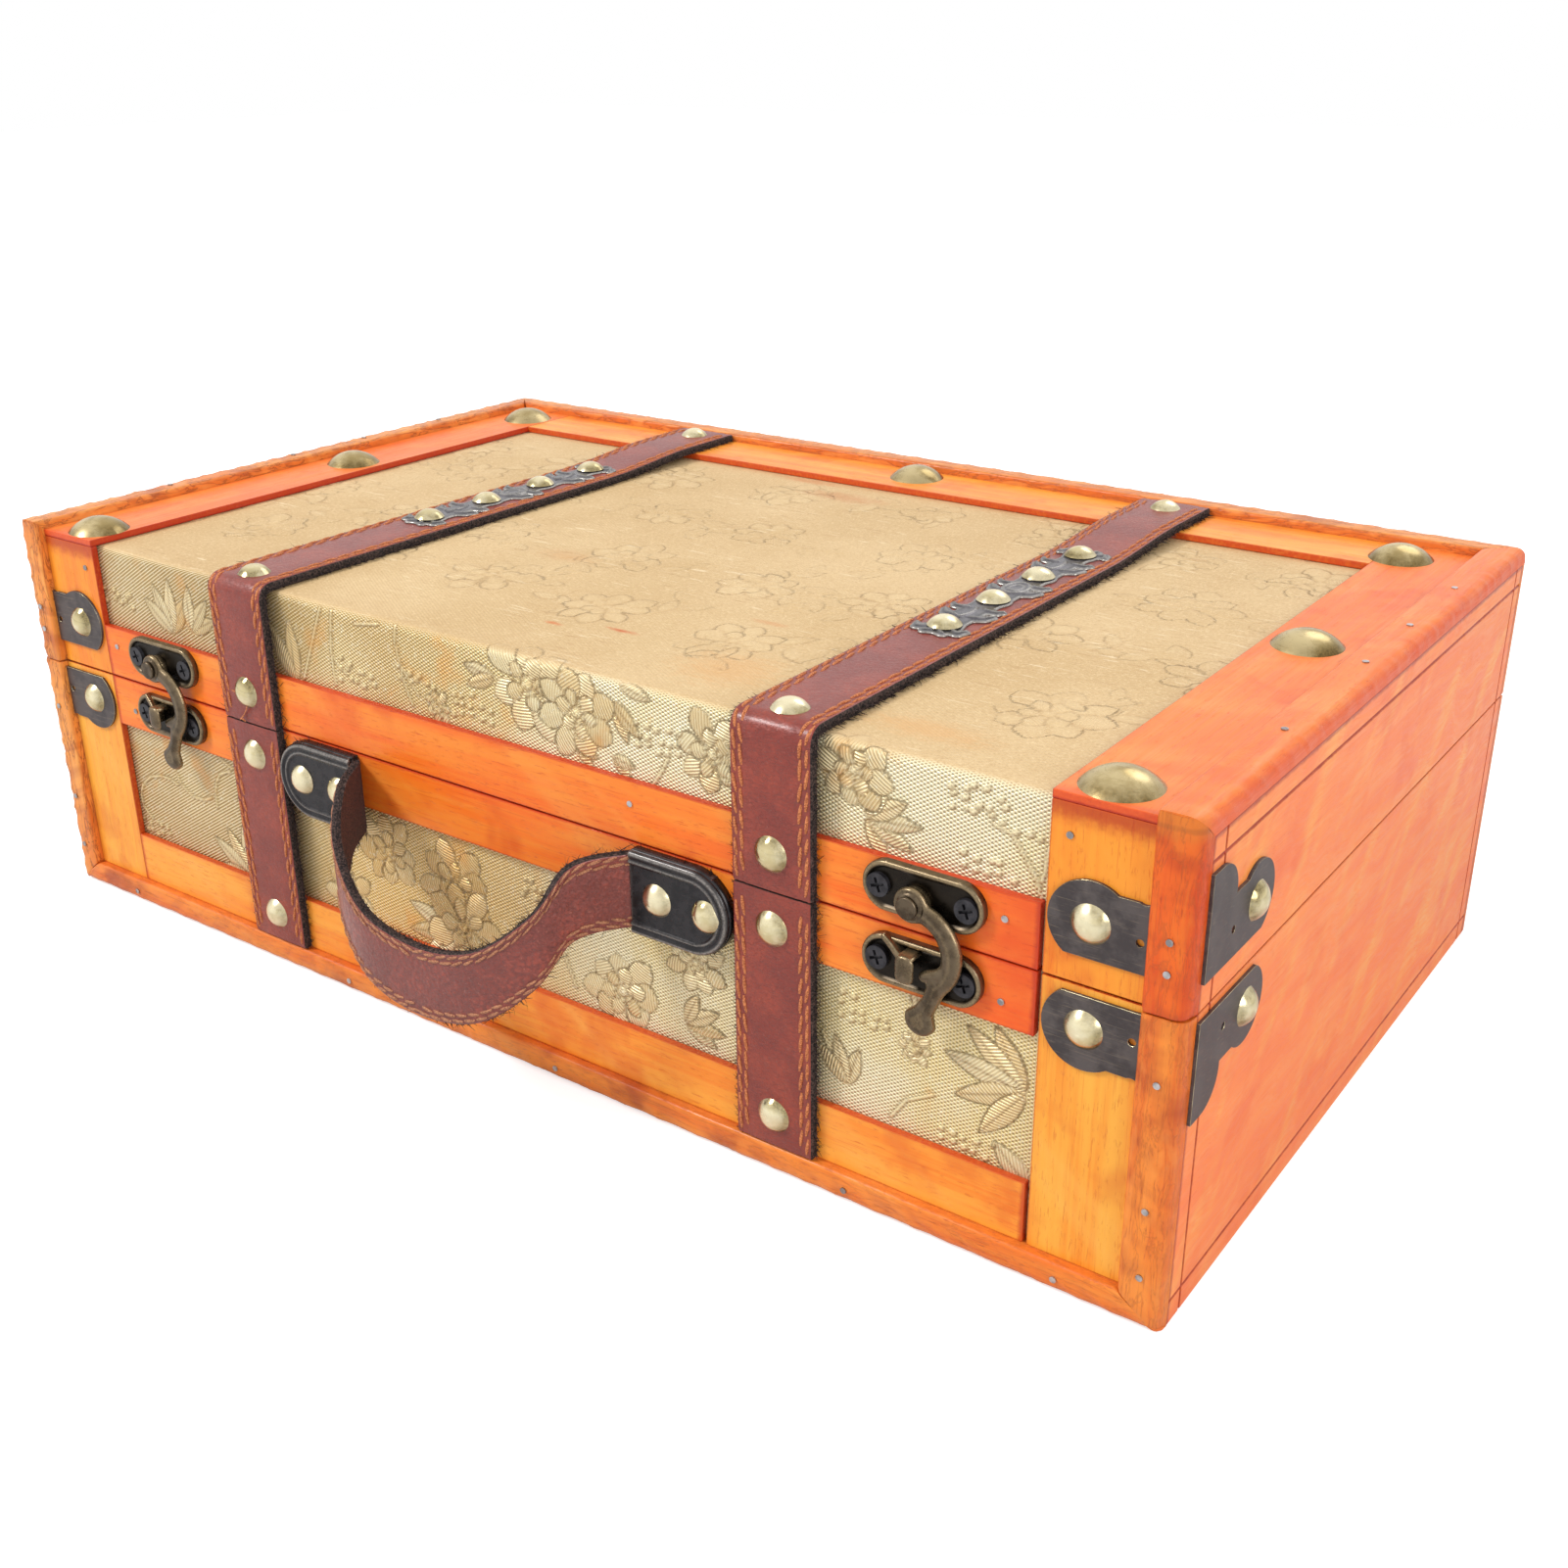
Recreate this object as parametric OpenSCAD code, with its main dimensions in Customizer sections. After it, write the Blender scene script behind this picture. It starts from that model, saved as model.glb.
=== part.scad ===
// Vintage style wooden trunk that lies flat like a suitcase: a boarded base and a hinged lid,
// gold cloth between stained wood strips, leather straps, swing hooks and a drooping leather handle.
// Millimetres. X runs along the front, the front faces -Y, Z is up.
// The origin is the centre of the underside.

/* [Case] */
// Width of the case over its end boards
case_w = 380; // [340:1:420]
// Depth from the front wood strips to the rear mouldings
case_d = 218; // [200:1:260]
// Height to the top of the flat wood strips
case_h = 118.5; // [112:0.5:140]
// Height of the seam between base and lid
seam_h = 77; // [74:0.5:82]
// Gap at the seam
seam_gap = 0.5; // [0.4:0.1:1]
// Thickness of the wall boards
wall_t = 8; // [6:0.5:10]
// Thickness of the floor board
floor_t = 4; // [3:0.5:6]
// Thickness of the lid's top board
lid_top_t = 6; // [4:0.5:8]
// Thickness of the gold cloth
cloth_t = 0.5; // [0.4:0.1:0.8]
// Radius of the cloth where it wraps over the front edge
cloth_round = 2; // [1.5:0.5:3]

/* [Wood trim] */
// Width of the flat strips and posts
strip_w = 23; // [20:0.5:26]
// Thickness of the flat strips, posts and rails
strip_t = 2; // [1.5:0.5:2.5]
// Height of the two rails beside the seam
seam_rail_h = 15.7; // [14.5:0.1:18]
// Height of the base's bottom rail
low_rail_h = 15.7; // [12:0.1:20]
// Gap between the rails and the right hand post
rail_gap = 1; // [0.5:0.5:1.5]
// Width of the rounded edge mouldings
moulding_w = 10; // [9:0.5:12]
// Height that the mouldings stand proud of the strips
moulding_rise = 2.5; // [2:0.5:3.5]
// Height of the front bottom moulding
foot_moulding_h = 8.2; // [7:0.1:9]
// Radius of the mouldings' outer edge
moulding_round = 2.5; // [1.5:0.5:3]
// Depth that the rear mouldings stand proud of the rear boards
rear_rise = 2; // [2:0.5:3]
// Distance of the end boards' grooves from their edges
groove_inset = 6; // [4:0.5:8]
// Width of those grooves
groove_w = 0.6; // [0.4:0.1:0.8]
// Depth of those grooves
groove_depth = 0.4; // [0.2:0.1:0.6]

/* [Straps and handle] */
// Width of the straps
strap_w = 22; // [20:0.5:24]
// Thickness of the strap leather
strap_t = 2.5; // [2:0.1:3]
// Outer radius of the strap where it bends over the front edge
strap_bend = 4.5; // [4:0.5:8]
// Clearance between a strap's end and what it stops at
strap_end_gap = 0.4; // [0.3:0.1:0.8]
// Clearance between a strap's side and the handle end plate beside it
handle_strap_gap = 0.7; // [0.4:0.1:3]
// Length of the embossed strap plates
ornate_l = 94; // [90:1:100]
// Width of the embossed strap plates
ornate_w = 15; // [14:0.5:18]
// Thickness of the embossed strap plates
ornate_t = 1; // [0.6:0.1:1.5]
// Distance from the front to the centre of the strap plates
ornate_from_front = 105.5; // [100:0.5:110]
// Spacing of the studs on a strap plate
ornate_stud_pitch = 24.3; // [22:0.1:25]
// Width of the handle leather
handle_w = 20; // [18:0.5:22]
// Thickness of the handle leather
handle_t = 2.5; // [2:0.1:3]
// Distance that the handle bows out from the front strips
handle_out = 29; // [26:1:36]
// Height that the handle droops below its end plates
handle_drop = 28; // [20:1:30]
// Half the distance between the handle's end plates
handle_half = 49; // [46:0.5:56]
// Width of the still bend between a handle end plate and the part that swings
handle_bend_w = 9.2; // [8:0.1:11]
// Length of each handle end plate
handle_plate_l = 29.3; // [27:0.1:29.5]
// Depth of each handle end plate
handle_plate_t = 3.9; // [3.7:0.1:5]
// Skin thickness of a handle end plate
handle_plate_skin = 1.1; // [0.8:0.1:1.2]
// Distance from the base's top edge down to a handle end plate
handle_plate_drop = 0.3; // [0.2:0.1:3]

/* [Metal fittings] */
// Diameter of the small brass studs
stud_d = 9; // [8:0.5:10]
// Height of the small brass studs
stud_h = 2.4; // [1.5:0.1:3]
// Diameter of the large domes
dome_d = 17.5; // [15:0.5:20]
// Height of the large domes
dome_h = 4; // [3:0.5:5]
// Thickness of the corner leaves
leaf_t = 0.8; // [0.6:0.1:1.2]
// Radius of a corner leaf's round end
leaf_r = 9.6; // [9:0.1:11]
// Distance from the seam to the lid's corner leaves
lid_leaf_gap = 7; // [5:0.5:9]
// Distance from the seam to the base's corner leaves
base_leaf_gap = 1.8; // [1:0.1:4]
// Length of the leaves on the end boards
end_leaf_l = 34; // [32:1:38]
// Height of the leaves on the end boards
end_leaf_h = 25; // [23.5:0.5:27]
// Length of the latch plates
latch_l = 30; // [28:0.5:31]
// Height of the latch plates
latch_h = 12; // [11:0.5:12]
// Thickness of the latch plates
latch_t = 2; // [1.6:0.1:2.4]
// Distance between the centres of the upper and lower latch plate
latch_step = 17.7; // [17.2:0.1:18.5]
// Distance from the seam up to the centre of the upper latch plate
latch_up = 9.9; // [9.5:0.1:10.5]
// Thickness of the hook
hook_t = 1.8; // [1.4:0.1:2.2]
// Distance from the hook's rivet down to its knob
hook_reach = 27; // [26:0.1:28]
// Radius of the rivet that the hook turns on
rivet_r = 1.25; // [1:0.05:1.5]
// Radial running clearance of rivets and hinge pins
pin_fit = 0.06; // [0.02:0.01:0.1]
// Distance of each hinge from the middle of the case
hinge_x = 95; // [80:1:120]
// Width of a hinge
hinge_w = 30; // [26:1:40]
// Height of a hinge leaf from the hinge axis
hinge_h = 15; // [13:0.5:20]
// Thickness of a hinge leaf
hinge_t = 1; // [0.8:0.1:1.2]
// Outer radius of a hinge knuckle
knuckle_r = 2; // [1.8:0.1:2]
// Radius of a hinge pin
hinge_pin_r = 1; // [0.8:0.05:1.1]
// Diameter of the brad heads
brad_d = 1.6; // [1.2:0.1:2]
// Height of the brad heads
brad_h = 0.3; // [0.2:0.05:0.5]

/* [Hidden] */
$fn = 48;
eps = 0.01;
move_gap = 0.3;
front_y = -case_d / 2;
rear_y = case_d / 2;
side_x = case_w / 2;
inner_x = side_x - wall_t;
cloth_face_y = front_y + strip_t;
board_face_y = cloth_face_y + cloth_t;
inner_front_y = board_face_y + wall_t;
rear_face_y = rear_y - rear_rise;
inner_rear_y = rear_face_y - wall_t;
cloth_top_z = case_h - strip_t;
board_top_z = cloth_top_z - cloth_t;
lid_ceiling_z = board_top_z - lid_top_t;
base_high = seam_h - seam_gap / 2;
lid_low = seam_h + seam_gap / 2;
mould_x = side_x - moulding_w;
post_x = mould_x - strip_w;
mould_rear_y = rear_y - moulding_w;
mould_front_y = front_y - moulding_rise;
mould_top_z = case_h + moulding_rise;
grip_half = handle_half - handle_bend_w;
strap_x = handle_half + handle_plate_l + handle_strap_gap + strap_w / 2;
// The latches sit midway between the straps and the posts
latch_x = (strap_x + strap_w / 2 + post_x) / 2;
handle_z = base_high - handle_plate_drop - handle_w / 2 - handle_plate_skin;
latch_z = seam_h + latch_up;
catch_z = latch_z - latch_step;
pivot_drop = 1.6;
pivot_left = 1.6;
hinge_y = rear_y + move_gap;
screw_inset = 4.1;
screw_r = 2.8;
well_depth = 1;
boss_r = 3.6;
boss_h = 0.9;
head_gap = 0.1;
head_h = 0.9;
head_r = 2.6;
stud_from_seam = 9.4;
stud_from_foot = 9;
edge_stud_in = 3.5;
tail_stud_in = 8;
ornate_stud_shift = 2;
oval_r = 4.5;
oval_h = 0.5;
handle_stud_d = 8.6;
handle_stud_near = 8;
handle_stud_step = 14.8;
// On the left plate both studs sit this much further right
left_stud_shift = 2.6;
hook_low = latch_t + boss_h + head_gap;
hook_high = hook_low + hook_t;

wood = [1.0, 0.55, 0.22];
post_wood = [1.0, 0.66, 0.25];
gold = [0.87, 0.77, 0.52];
leather = [0.45, 0.22, 0.19];
brass = [0.82, 0.78, 0.6];
old_brass = [0.56, 0.52, 0.36];
gunmetal = [0.28, 0.26, 0.28];
bronze = [0.36, 0.3, 0.22];
steel = [0.62, 0.62, 0.64];

// A box between two corners
module span(low, high) {
    translate(low)
        cube([high.x - low.x, high.y - low.y, high.z - low.z]);
}

// Extrudes a side view, drawn as [y, z], along X between two values
module along_x(x0, x1) {
    translate([x0, 0, 0])
        rotate([90, 0, 90])
            linear_extrude(x1 - x0)
                children();
}

// Extrudes a front view, drawn as [x, z], from face y backwards or, with a minus depth, forwards
module along_y(y0, y1) {
    translate([0, y1, 0])
        rotate([90, 0, 0])
            linear_extrude(y1 - y0)
                children();
}

module along_z(z0, z1) {
    translate([0, 0, z0])
        linear_extrude(z1 - z0)
            children();
}

// Boards

module end_board(side, z0, z1) {
    face = side * side_x;
    y0 = board_face_y + groove_inset;
    y1 = rear_face_y - groove_inset;
    x0 = min(side * inner_x, face);
    x1 = max(side * inner_x, face);
    color(wood)
        difference() {
            span([x0, board_face_y, z0], [x1, rear_face_y, z1]);
            for (y = [y0, y1])
                span([face - groove_depth, y, z0 - 1], [face + groove_depth, y + groove_w, z1 + 1]);
            if (z0 < 1)
                span([face - groove_depth, board_face_y - 1, groove_inset],
                    [face + groove_depth, rear_face_y + 1, groove_inset + groove_w]);
            else
                span([face - groove_depth, board_face_y - 1, z1 - groove_inset],
                    [face + groove_depth, rear_face_y + 1, z1 - groove_inset + groove_w]);
        }
}

module base_floor() {
    color(wood)
        span([-inner_x, inner_front_y, 0], [inner_x, inner_rear_y, floor_t]);
}

module base_end_left() {
    end_board(-1, 0, base_high);
}

module base_end_right() {
    end_board(1, 0, base_high);
}

module base_front_board() {
    color(wood)
        span([-inner_x, board_face_y, 0], [inner_x, inner_front_y, base_high]);
}

module base_rear_board() {
    color(wood)
        span([-inner_x, inner_rear_y, 0], [inner_x, rear_face_y, base_high]);
}

module lid_top_board() {
    r = cloth_round - cloth_t;
    color(wood)
        along_x(-inner_x, inner_x)
            polygon(concat(
                [[board_face_y, lid_ceiling_z]],
                [for (a = [180:-15:90]) [board_face_y + r + r * cos(a), board_top_z - r + r * sin(a)]],
                [[rear_face_y, board_top_z], [rear_face_y, lid_ceiling_z]]));
}

module lid_end_left() {
    end_board(-1, lid_low, board_top_z);
}

module lid_end_right() {
    end_board(1, lid_low, board_top_z);
}

module lid_front_board() {
    color(wood)
        span([-inner_x, board_face_y, lid_low], [inner_x, inner_front_y, lid_ceiling_z]);
}

module lid_rear_board() {
    color(wood)
        span([-inner_x, inner_rear_y, lid_low], [inner_x, rear_face_y, lid_ceiling_z]);
}

// Gold cloth

module base_front_cloth() {
    color(gold)
        span([-mould_x, cloth_face_y, foot_moulding_h], [mould_x, board_face_y, base_high]);
}

// One sheet from the lid's lower front edge, round the front top edge, to the rear moulding
module lid_cloth() {
    turn = [180:-15:90];
    ri = cloth_round - cloth_t;
    cy = cloth_face_y + cloth_round;
    cz = cloth_top_z - cloth_round;
    outer = [for (a = turn) [cy + cloth_round * cos(a), cz + cloth_round * sin(a)]];
    inner = [for (a = [90:15:180]) [cy + ri * cos(a), cz + ri * sin(a)]];
    color(gold)
        along_x(-mould_x, mould_x)
            polygon(concat(
                [[board_face_y, lid_low], [cloth_face_y, lid_low]],
                outer,
                [[mould_rear_y, cloth_top_z], [mould_rear_y, board_top_z]],
                inner));
}

// Flat posts, rails and strips

module posts(z0, z1) {
    color(post_wood)
        for (side = [-1, 1])
            span([min(side * post_x, side * mould_x), front_y, z0],
                [max(side * post_x, side * mould_x), cloth_face_y, z1]);
}

module front_rail(z0, z1) {
    color(wood)
        span([-post_x, front_y, z0], [post_x - rail_gap, cloth_face_y, z1]);
}

module base_posts() {
    posts(foot_moulding_h, base_high);
}

module base_top_rail() {
    front_rail(seam_h - seam_rail_h, base_high);
}

module base_bottom_rail() {
    front_rail(foot_moulding_h, foot_moulding_h + low_rail_h);
}

module lid_posts() {
    posts(lid_low, cloth_top_z);
}

module lid_rail() {
    front_rail(lid_low, seam_h + seam_rail_h);
}

module side_strip(side) {
    color(wood)
        span([min(side * post_x, side * mould_x), front_y, cloth_top_z],
            [max(side * post_x, side * mould_x), mould_rear_y, case_h]);
}

module lid_strip_left() {
    side_strip(-1);
}

module lid_strip_right() {
    side_strip(1);
}

module lid_strip_rear() {
    color(wood)
        span([-post_x, mould_rear_y - strip_w, cloth_top_z], [post_x, mould_rear_y, case_h]);
}

// Rounded edge mouldings

// A corner of a moulding's section: arc points about a centre, from one angle to another
function arc_at(c, r, a0, a1) = [for (i = [0:4])
    let (a = a0 + (a1 - a0) * i / 4)
        [c.x + r * cos(a), c.y + r * sin(a)]];

// Section of a side or rear top moulding: from its inner edge at 0 to its outer edge at w
module top_section(w, h) {
    r = moulding_round;
    polygon(concat(
        [[0, 0]],
        arc_at([1, h - 1], 1, 180, 90),
        arc_at([w - r, h - r], r, 90, 0),
        [[w, 0]]));
}

// The top moulding on one side, mitred at both ends
module side_top_moulding(side) {
    h = mould_top_z - board_top_z;
    color(wood)
        intersection() {
            // front view: the rounded section
            along_y(mould_front_y - 1, rear_y + 1)
                translate([side * mould_x, board_top_z])
                    scale([side, 1])
                        top_section(moulding_w, h);
            // side view: the front end is mitred to the upright moulding
            along_x(-side_x - 1, side_x + 1)
                polygon([[mould_front_y, mould_top_z], [mould_front_y + h, board_top_z],
                    [rear_y, board_top_z], [rear_y, mould_top_z]]);
            // plan: the rear end is mitred to the rear moulding
            along_z(board_top_z - 1, mould_top_z + 1)
                polygon([[side * side_x, mould_front_y - 1], [side * side_x, rear_y],
                    [side * mould_x, mould_rear_y], [side * mould_x, mould_front_y - 1]]);
        }
}

module lid_moulding_left() {
    side_top_moulding(-1);
}

module lid_moulding_right() {
    side_top_moulding(1);
}

module lid_moulding_rear() {
    h = mould_top_z - board_top_z;
    color(wood)
        intersection() {
            along_x(-side_x, side_x)
                translate([mould_rear_y, board_top_z])
                    top_section(moulding_w, h);
            along_z(board_top_z - 1, mould_top_z + 1)
                polygon([[-side_x, rear_y], [side_x, rear_y],
                    [mould_x, mould_rear_y], [-mould_x, mould_rear_y]]);
        }
}

// Plan of an upright moulding on the front, from its inner edge to its outer edge
module upright_section() {
    d = board_face_y - mould_front_y;
    r = moulding_round;
    polygon(concat(
        [[0, d], [0, 1]],
        arc_at([1, 1], 1, 180, 270),
        arc_at([moulding_w - r, r], r, 270, 360),
        [[moulding_w, d]]));
}

// Both uprights at the front corners, between two heights
module front_uprights(z0, z1) {
    for (side = [-1, 1])
        along_z(z0, z1)
            translate([side * mould_x, mould_front_y])
                scale([side, 1])
                    upright_section();
}

module base_front_mouldings() {
    color(wood)
        intersection() {
            front_uprights(0, base_high);
            // front view: mitred to the foot moulding
            along_y(mould_front_y - 1, board_face_y + 1)
                for (side = [-1, 1])
                    polygon([[side * side_x, 0], [side * side_x, base_high],
                        [side * mould_x, base_high], [side * mould_x, foot_moulding_h]]);
        }
}

module base_foot_moulding() {
    r = moulding_round;
    color(wood)
        intersection() {
            along_x(-side_x, side_x)
                polygon(concat(
                    [[board_face_y, 0]],
                    arc_at([mould_front_y + r, r], r, 270, 180),
                    arc_at([mould_front_y + 1, foot_moulding_h - 1], 1, 180, 90),
                    [[board_face_y, foot_moulding_h]]));
            along_y(mould_front_y - 1, board_face_y + 1)
                polygon([[-side_x, 0], [side_x, 0],
                    [mould_x, foot_moulding_h], [-mould_x, foot_moulding_h]]);
        }
}

module lid_front_mouldings() {
    h = mould_top_z - board_top_z;
    color(wood)
        intersection() {
            front_uprights(lid_low, mould_top_z);
            // side view: mitred to the side top moulding
            along_x(-side_x - 1, side_x + 1)
                polygon([[mould_front_y, lid_low], [mould_front_y, mould_top_z],
                    [mould_front_y + h, board_top_z], [board_face_y, board_top_z],
                    [board_face_y, lid_low]]);
        }
}

module rear_uprights(z0, z1) {
    for (side = [-1, 1])
        span([min(side * mould_x, side * side_x), rear_face_y, z0],
            [max(side * mould_x, side * side_x), rear_y, z1]);
}

module base_rear_mouldings() {
    color(wood) {
        rear_uprights(0, base_high);
        span([-mould_x, rear_face_y, 0], [mould_x, rear_y, foot_moulding_h]);
    }
}

module lid_rear_mouldings() {
    color(wood)
        rear_uprights(lid_low, board_top_z);
}

// Leather straps

strap_rear_end = mould_rear_y - strap_end_gap;
strap_face_y = front_y - strap_t;
strap_top_z = cloth_top_z + strap_t;
ramp_l = 9;
step_gap = 0.6;

// The lid strap as a side view: up the front, round the bend, back along the top and over the rear strip
module lid_strap_side() {
    ri = strap_bend - strap_t;
    c = [strap_face_y + strap_bend, strap_top_z - strap_bend];
    step_y = mould_rear_y - strip_w - step_gap;
    rise = strip_t;
    polygon(concat(
        [[front_y, lid_low], [strap_face_y, lid_low]],
        [for (a = [180:-10:90]) [c.x + strap_bend * cos(a), c.y + strap_bend * sin(a)]],
        [[step_y - ramp_l, strap_top_z], [step_y, strap_top_z + rise]],
        [[strap_rear_end, strap_top_z + rise], [strap_rear_end, cloth_top_z + rise]],
        [[step_y, cloth_top_z + rise], [step_y - ramp_l, cloth_top_z]],
        [for (a = [90:10:180]) [c.x + ri * cos(a), c.y + ri * sin(a)]]));
}

module lid_strap(side) {
    color(leather)
        along_x(side * strap_x - strap_w / 2, side * strap_x + strap_w / 2)
            lid_strap_side();
}

module base_strap(side) {
    color(leather)
        span([side * strap_x - strap_w / 2, strap_face_y, foot_moulding_h + strap_end_gap],
            [side * strap_x + strap_w / 2, front_y, base_high]);
}

module lid_strap_left() {
    lid_strap(-1);
}

module lid_strap_right() {
    lid_strap(1);
}

module base_strap_left() {
    base_strap(-1);
}

module base_strap_right() {
    base_strap(1);
}

// Embossed plate on a strap: a scalloped outline with a raised oval in the middle
module strap_plate(side) {
    steps = 60;
    lobes = 5;
    hw = ornate_w / 2;
    hl = ornate_l / 2;
    edge = [for (i = [0:steps])
        let (u = -1 + 2 * i / steps, taper = pow(max(0, 1 - pow(abs(u), 8)), 0.5))
            [hw * taper * (0.84 + 0.16 * cos(180 * lobes * u)), hl * u]];
    rev = [for (i = [steps - 1:-1:1]) [-edge[i].x, edge[i].y]];
    color(gunmetal)
        translate([side * strap_x, front_y + ornate_from_front, strap_top_z]) {
            linear_extrude(ornate_t)
                polygon(concat(edge, rev));
            translate([0, 0, ornate_t - eps])
                cylinder(h = oval_h + eps, r = oval_r);
        }
}

module strap_plate_left() {
    strap_plate(-1);
}

module strap_plate_right() {
    strap_plate(1);
}

// Studs, domes, screws and brads

// A spherical cap that stands on z = 0
module cap(d, h) {
    ball = (d * d / 4 + h * h) / (2 * h);
    rotate_extrude()
        intersection() {
            translate([0, h - ball])
                circle(r = ball, $fn = 96);
            square([d, h + 1]);
        }
}

module stud() {
    cap(stud_d, stud_h);
}

// Turns what stands on z = 0 so that it stands on the front, pointing to -Y
module on_front(p) {
    translate(p)
        rotate([90, 0, 0])
            children();
}

module base_strap_studs() {
    color(brass)
        for (side = [-1, 1], z = [seam_h - stud_from_seam, foot_moulding_h + stud_from_foot])
            on_front([side * strap_x, strap_face_y, z])
                stud();
}

module lid_strap_studs() {
    tail_z = strap_top_z + strip_t;
    row_y = front_y + ornate_from_front + ornate_stud_shift;
    color(brass)
        for (side = [-1, 1]) {
            on_front([side * strap_x, strap_face_y, seam_h + stud_from_seam])
                stud();
            translate([side * strap_x, strap_face_y + strap_bend + edge_stud_in, strap_top_z])
                stud();
            translate([side * strap_x, strap_rear_end - tail_stud_in, tail_z])
                stud();
            for (i = [-1.5:1:1.5])
                translate([side * strap_x, row_y + i * ornate_stud_pitch, strap_top_z + ornate_t])
                    stud();
        }
}

// The domes are set by hand, so they aren't quite the same on both sides
dome_in = 1;
dome_edge_gap = 0.3;
dome_rear_gap = 4.2;
dome_lean = 2;

module lid_domes() {
    side_dome = (mould_x + post_x) / 2 - dome_in;
    corner_dome = side_dome - 2 * dome_lean - dome_in;
    front_dome = front_y + dome_d / 2 + dome_edge_gap;
    rear_dome = mould_rear_y - dome_d / 2 - dome_rear_gap;
    spots = [
        [dome_lean - side_dome, front_dome], [side_dome, front_dome],
        [-side_dome, dome_in], [side_dome, dome_in],
        [-corner_dome - 2 * dome_lean, rear_dome], [corner_dome, rear_dome],
        [3 * dome_in, rear_dome + 2 * dome_lean]];
    color(old_brass)
        for (p = spots)
            translate([p.x, p.y, case_h])
                cap(dome_d, dome_h);
}

// A pan head with a cross recess, standing on z = 0
module cross_head(r, h) {
    difference() {
        cylinder(h = h, r = r);
        for (turn = [0, 90])
            rotate([0, 0, turn + 20])
                translate([-r * 0.62, -0.35, h * 0.45])
                    cube([r * 1.24, 0.7, h]);
    }
}

module brad() {
    cylinder(h = brad_h, d = brad_d);
}

brad_off = 2;
brad_in = 4.5;
latch_end = latch_x + latch_l / 2;

// Place of a rail's end brad, as a share of the way from the latch plate's end to the post
function rail_brad_x(part) = latch_end + part * (post_x - latch_end);

module base_brads() {
    rail_z = seam_h - seam_rail_h / 2 - brad_off;
    color(steel) {
        for (side = [-1, 1])
            on_front([side * rail_brad_x(0.31), front_y, rail_z])
                brad();
        for (side = [-1, 1], part = [0.18, 0.4, 0.8])
            on_front([side * (mould_x + moulding_w / 2), mould_front_y, part * seam_h])
                brad();
        for (part = [-0.42, -0.16, 0.05, 0.29, 0.435])
            on_front([part * case_w, mould_front_y, foot_moulding_h / 2])
                brad();
    }
}

module lid_brads() {
    rail_z = seam_h + seam_rail_h / 2 + brad_off;
    color(steel) {
        for (x = [-rail_brad_x(0.62), 0.124 * case_w, rail_brad_x(0.31)])
            on_front([x, front_y, rail_z])
                brad();
        for (side = [-1, 1]) {
            on_front([side * (post_x + brad_in), front_y, cloth_top_z - 0.3 * strip_w])
                brad();
            for (part = [0.24, 0.41])
                on_front([side * (mould_x + moulding_w / 2), mould_front_y,
                    seam_h + part * (case_h - seam_h)])
                    brad();
            for (part = [-0.275, -0.046, 0.1, 0.266])
                translate([side * (mould_x + moulding_w / 2), part * case_d, mould_top_z])
                    brad();
        }
    }
}

// Corner leaves

hole_r = 0.9;
leaf_side_gap = 0.8;
leaf_cut = 1.8;
leaf_cx = strip_w - leaf_r - leaf_side_gap;
leaf_cy = leaf_r - leaf_cut;
notch_r = 2.1;

// A front leaf as seen from the front: x runs from the moulding inwards, y up from its straight edge
module front_leaf_shape() {
    difference() {
        union() {
            translate([leaf_cx, leaf_cy])
                circle(leaf_r);
            square([leaf_cx, 2 * leaf_cy]);
        }
        translate([-leaf_r, -2 * leaf_r])
            square([3 * strip_w, 2 * leaf_r]);
        translate([2 * hole_r, leaf_cy - hole_r])
            circle(hole_r);
        translate([notch_r * 0.65, leaf_cy + leaf_r])
            circle(notch_r);
    }
}

// An end leaf: x runs back from the front moulding, y up from its straight edge
lobe_r = 9;
tower_r = 8;

module end_leaf_shape() {
    lobe_x = end_leaf_l - lobe_r;
    tower_x = 0.6 * tower_r;
    difference() {
        union() {
            square([lobe_x, end_leaf_h - lobe_r - 1]);
            square([tower_x, end_leaf_h - 1]);
            translate([tower_x, end_leaf_h - tower_r - 1])
                circle(tower_r);
            translate([lobe_x, lobe_r - hole_r])
                circle(lobe_r);
        }
        translate([-lobe_r, -lobe_r])
            square([3 * end_leaf_l, lobe_r]);
        translate([-2 * lobe_r, -1])
            square([2 * lobe_r, end_leaf_h + lobe_r]);
        translate([1.6 * tower_r, lobe_r - 2.5 * hole_r])
            circle(hole_r);
    }
}

// All four leaves beside the seam: up is 1 for the lid and -1 for the base
module corner_leaves(z, up) {
    color(gunmetal)
        for (side = [-1, 1]) {
            along_y(front_y - leaf_t, front_y)
                translate([side * mould_x, z])
                    scale([-side, up])
                        front_leaf_shape();
            along_x(side > 0 ? side_x : -side_x - leaf_t, side > 0 ? side_x + leaf_t : -side_x)
                translate([board_face_y, z])
                    scale([1, up])
                        end_leaf_shape();
        }
}

module corner_studs(z, up) {
    end_y = board_face_y + end_leaf_l - lobe_r;
    color(brass)
        for (side = [-1, 1]) {
            on_front([side * (mould_x - leaf_cx), front_y - leaf_t, z + up * leaf_cy])
                stud();
            translate([side * (side_x + leaf_t), end_y, z + up * (lobe_r - hole_r)])
                rotate([0, side * 90, 0])
                    stud();
        }
}

module lid_corner_leaves() {
    corner_leaves(seam_h + lid_leaf_gap, 1);
}

module lid_corner_studs() {
    corner_studs(seam_h + lid_leaf_gap, 1);
}

module base_corner_leaves() {
    corner_leaves(seam_h - base_leaf_gap, -1);
}

module base_corner_studs() {
    corner_studs(seam_h - base_leaf_gap, -1);
}

// Handle

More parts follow.
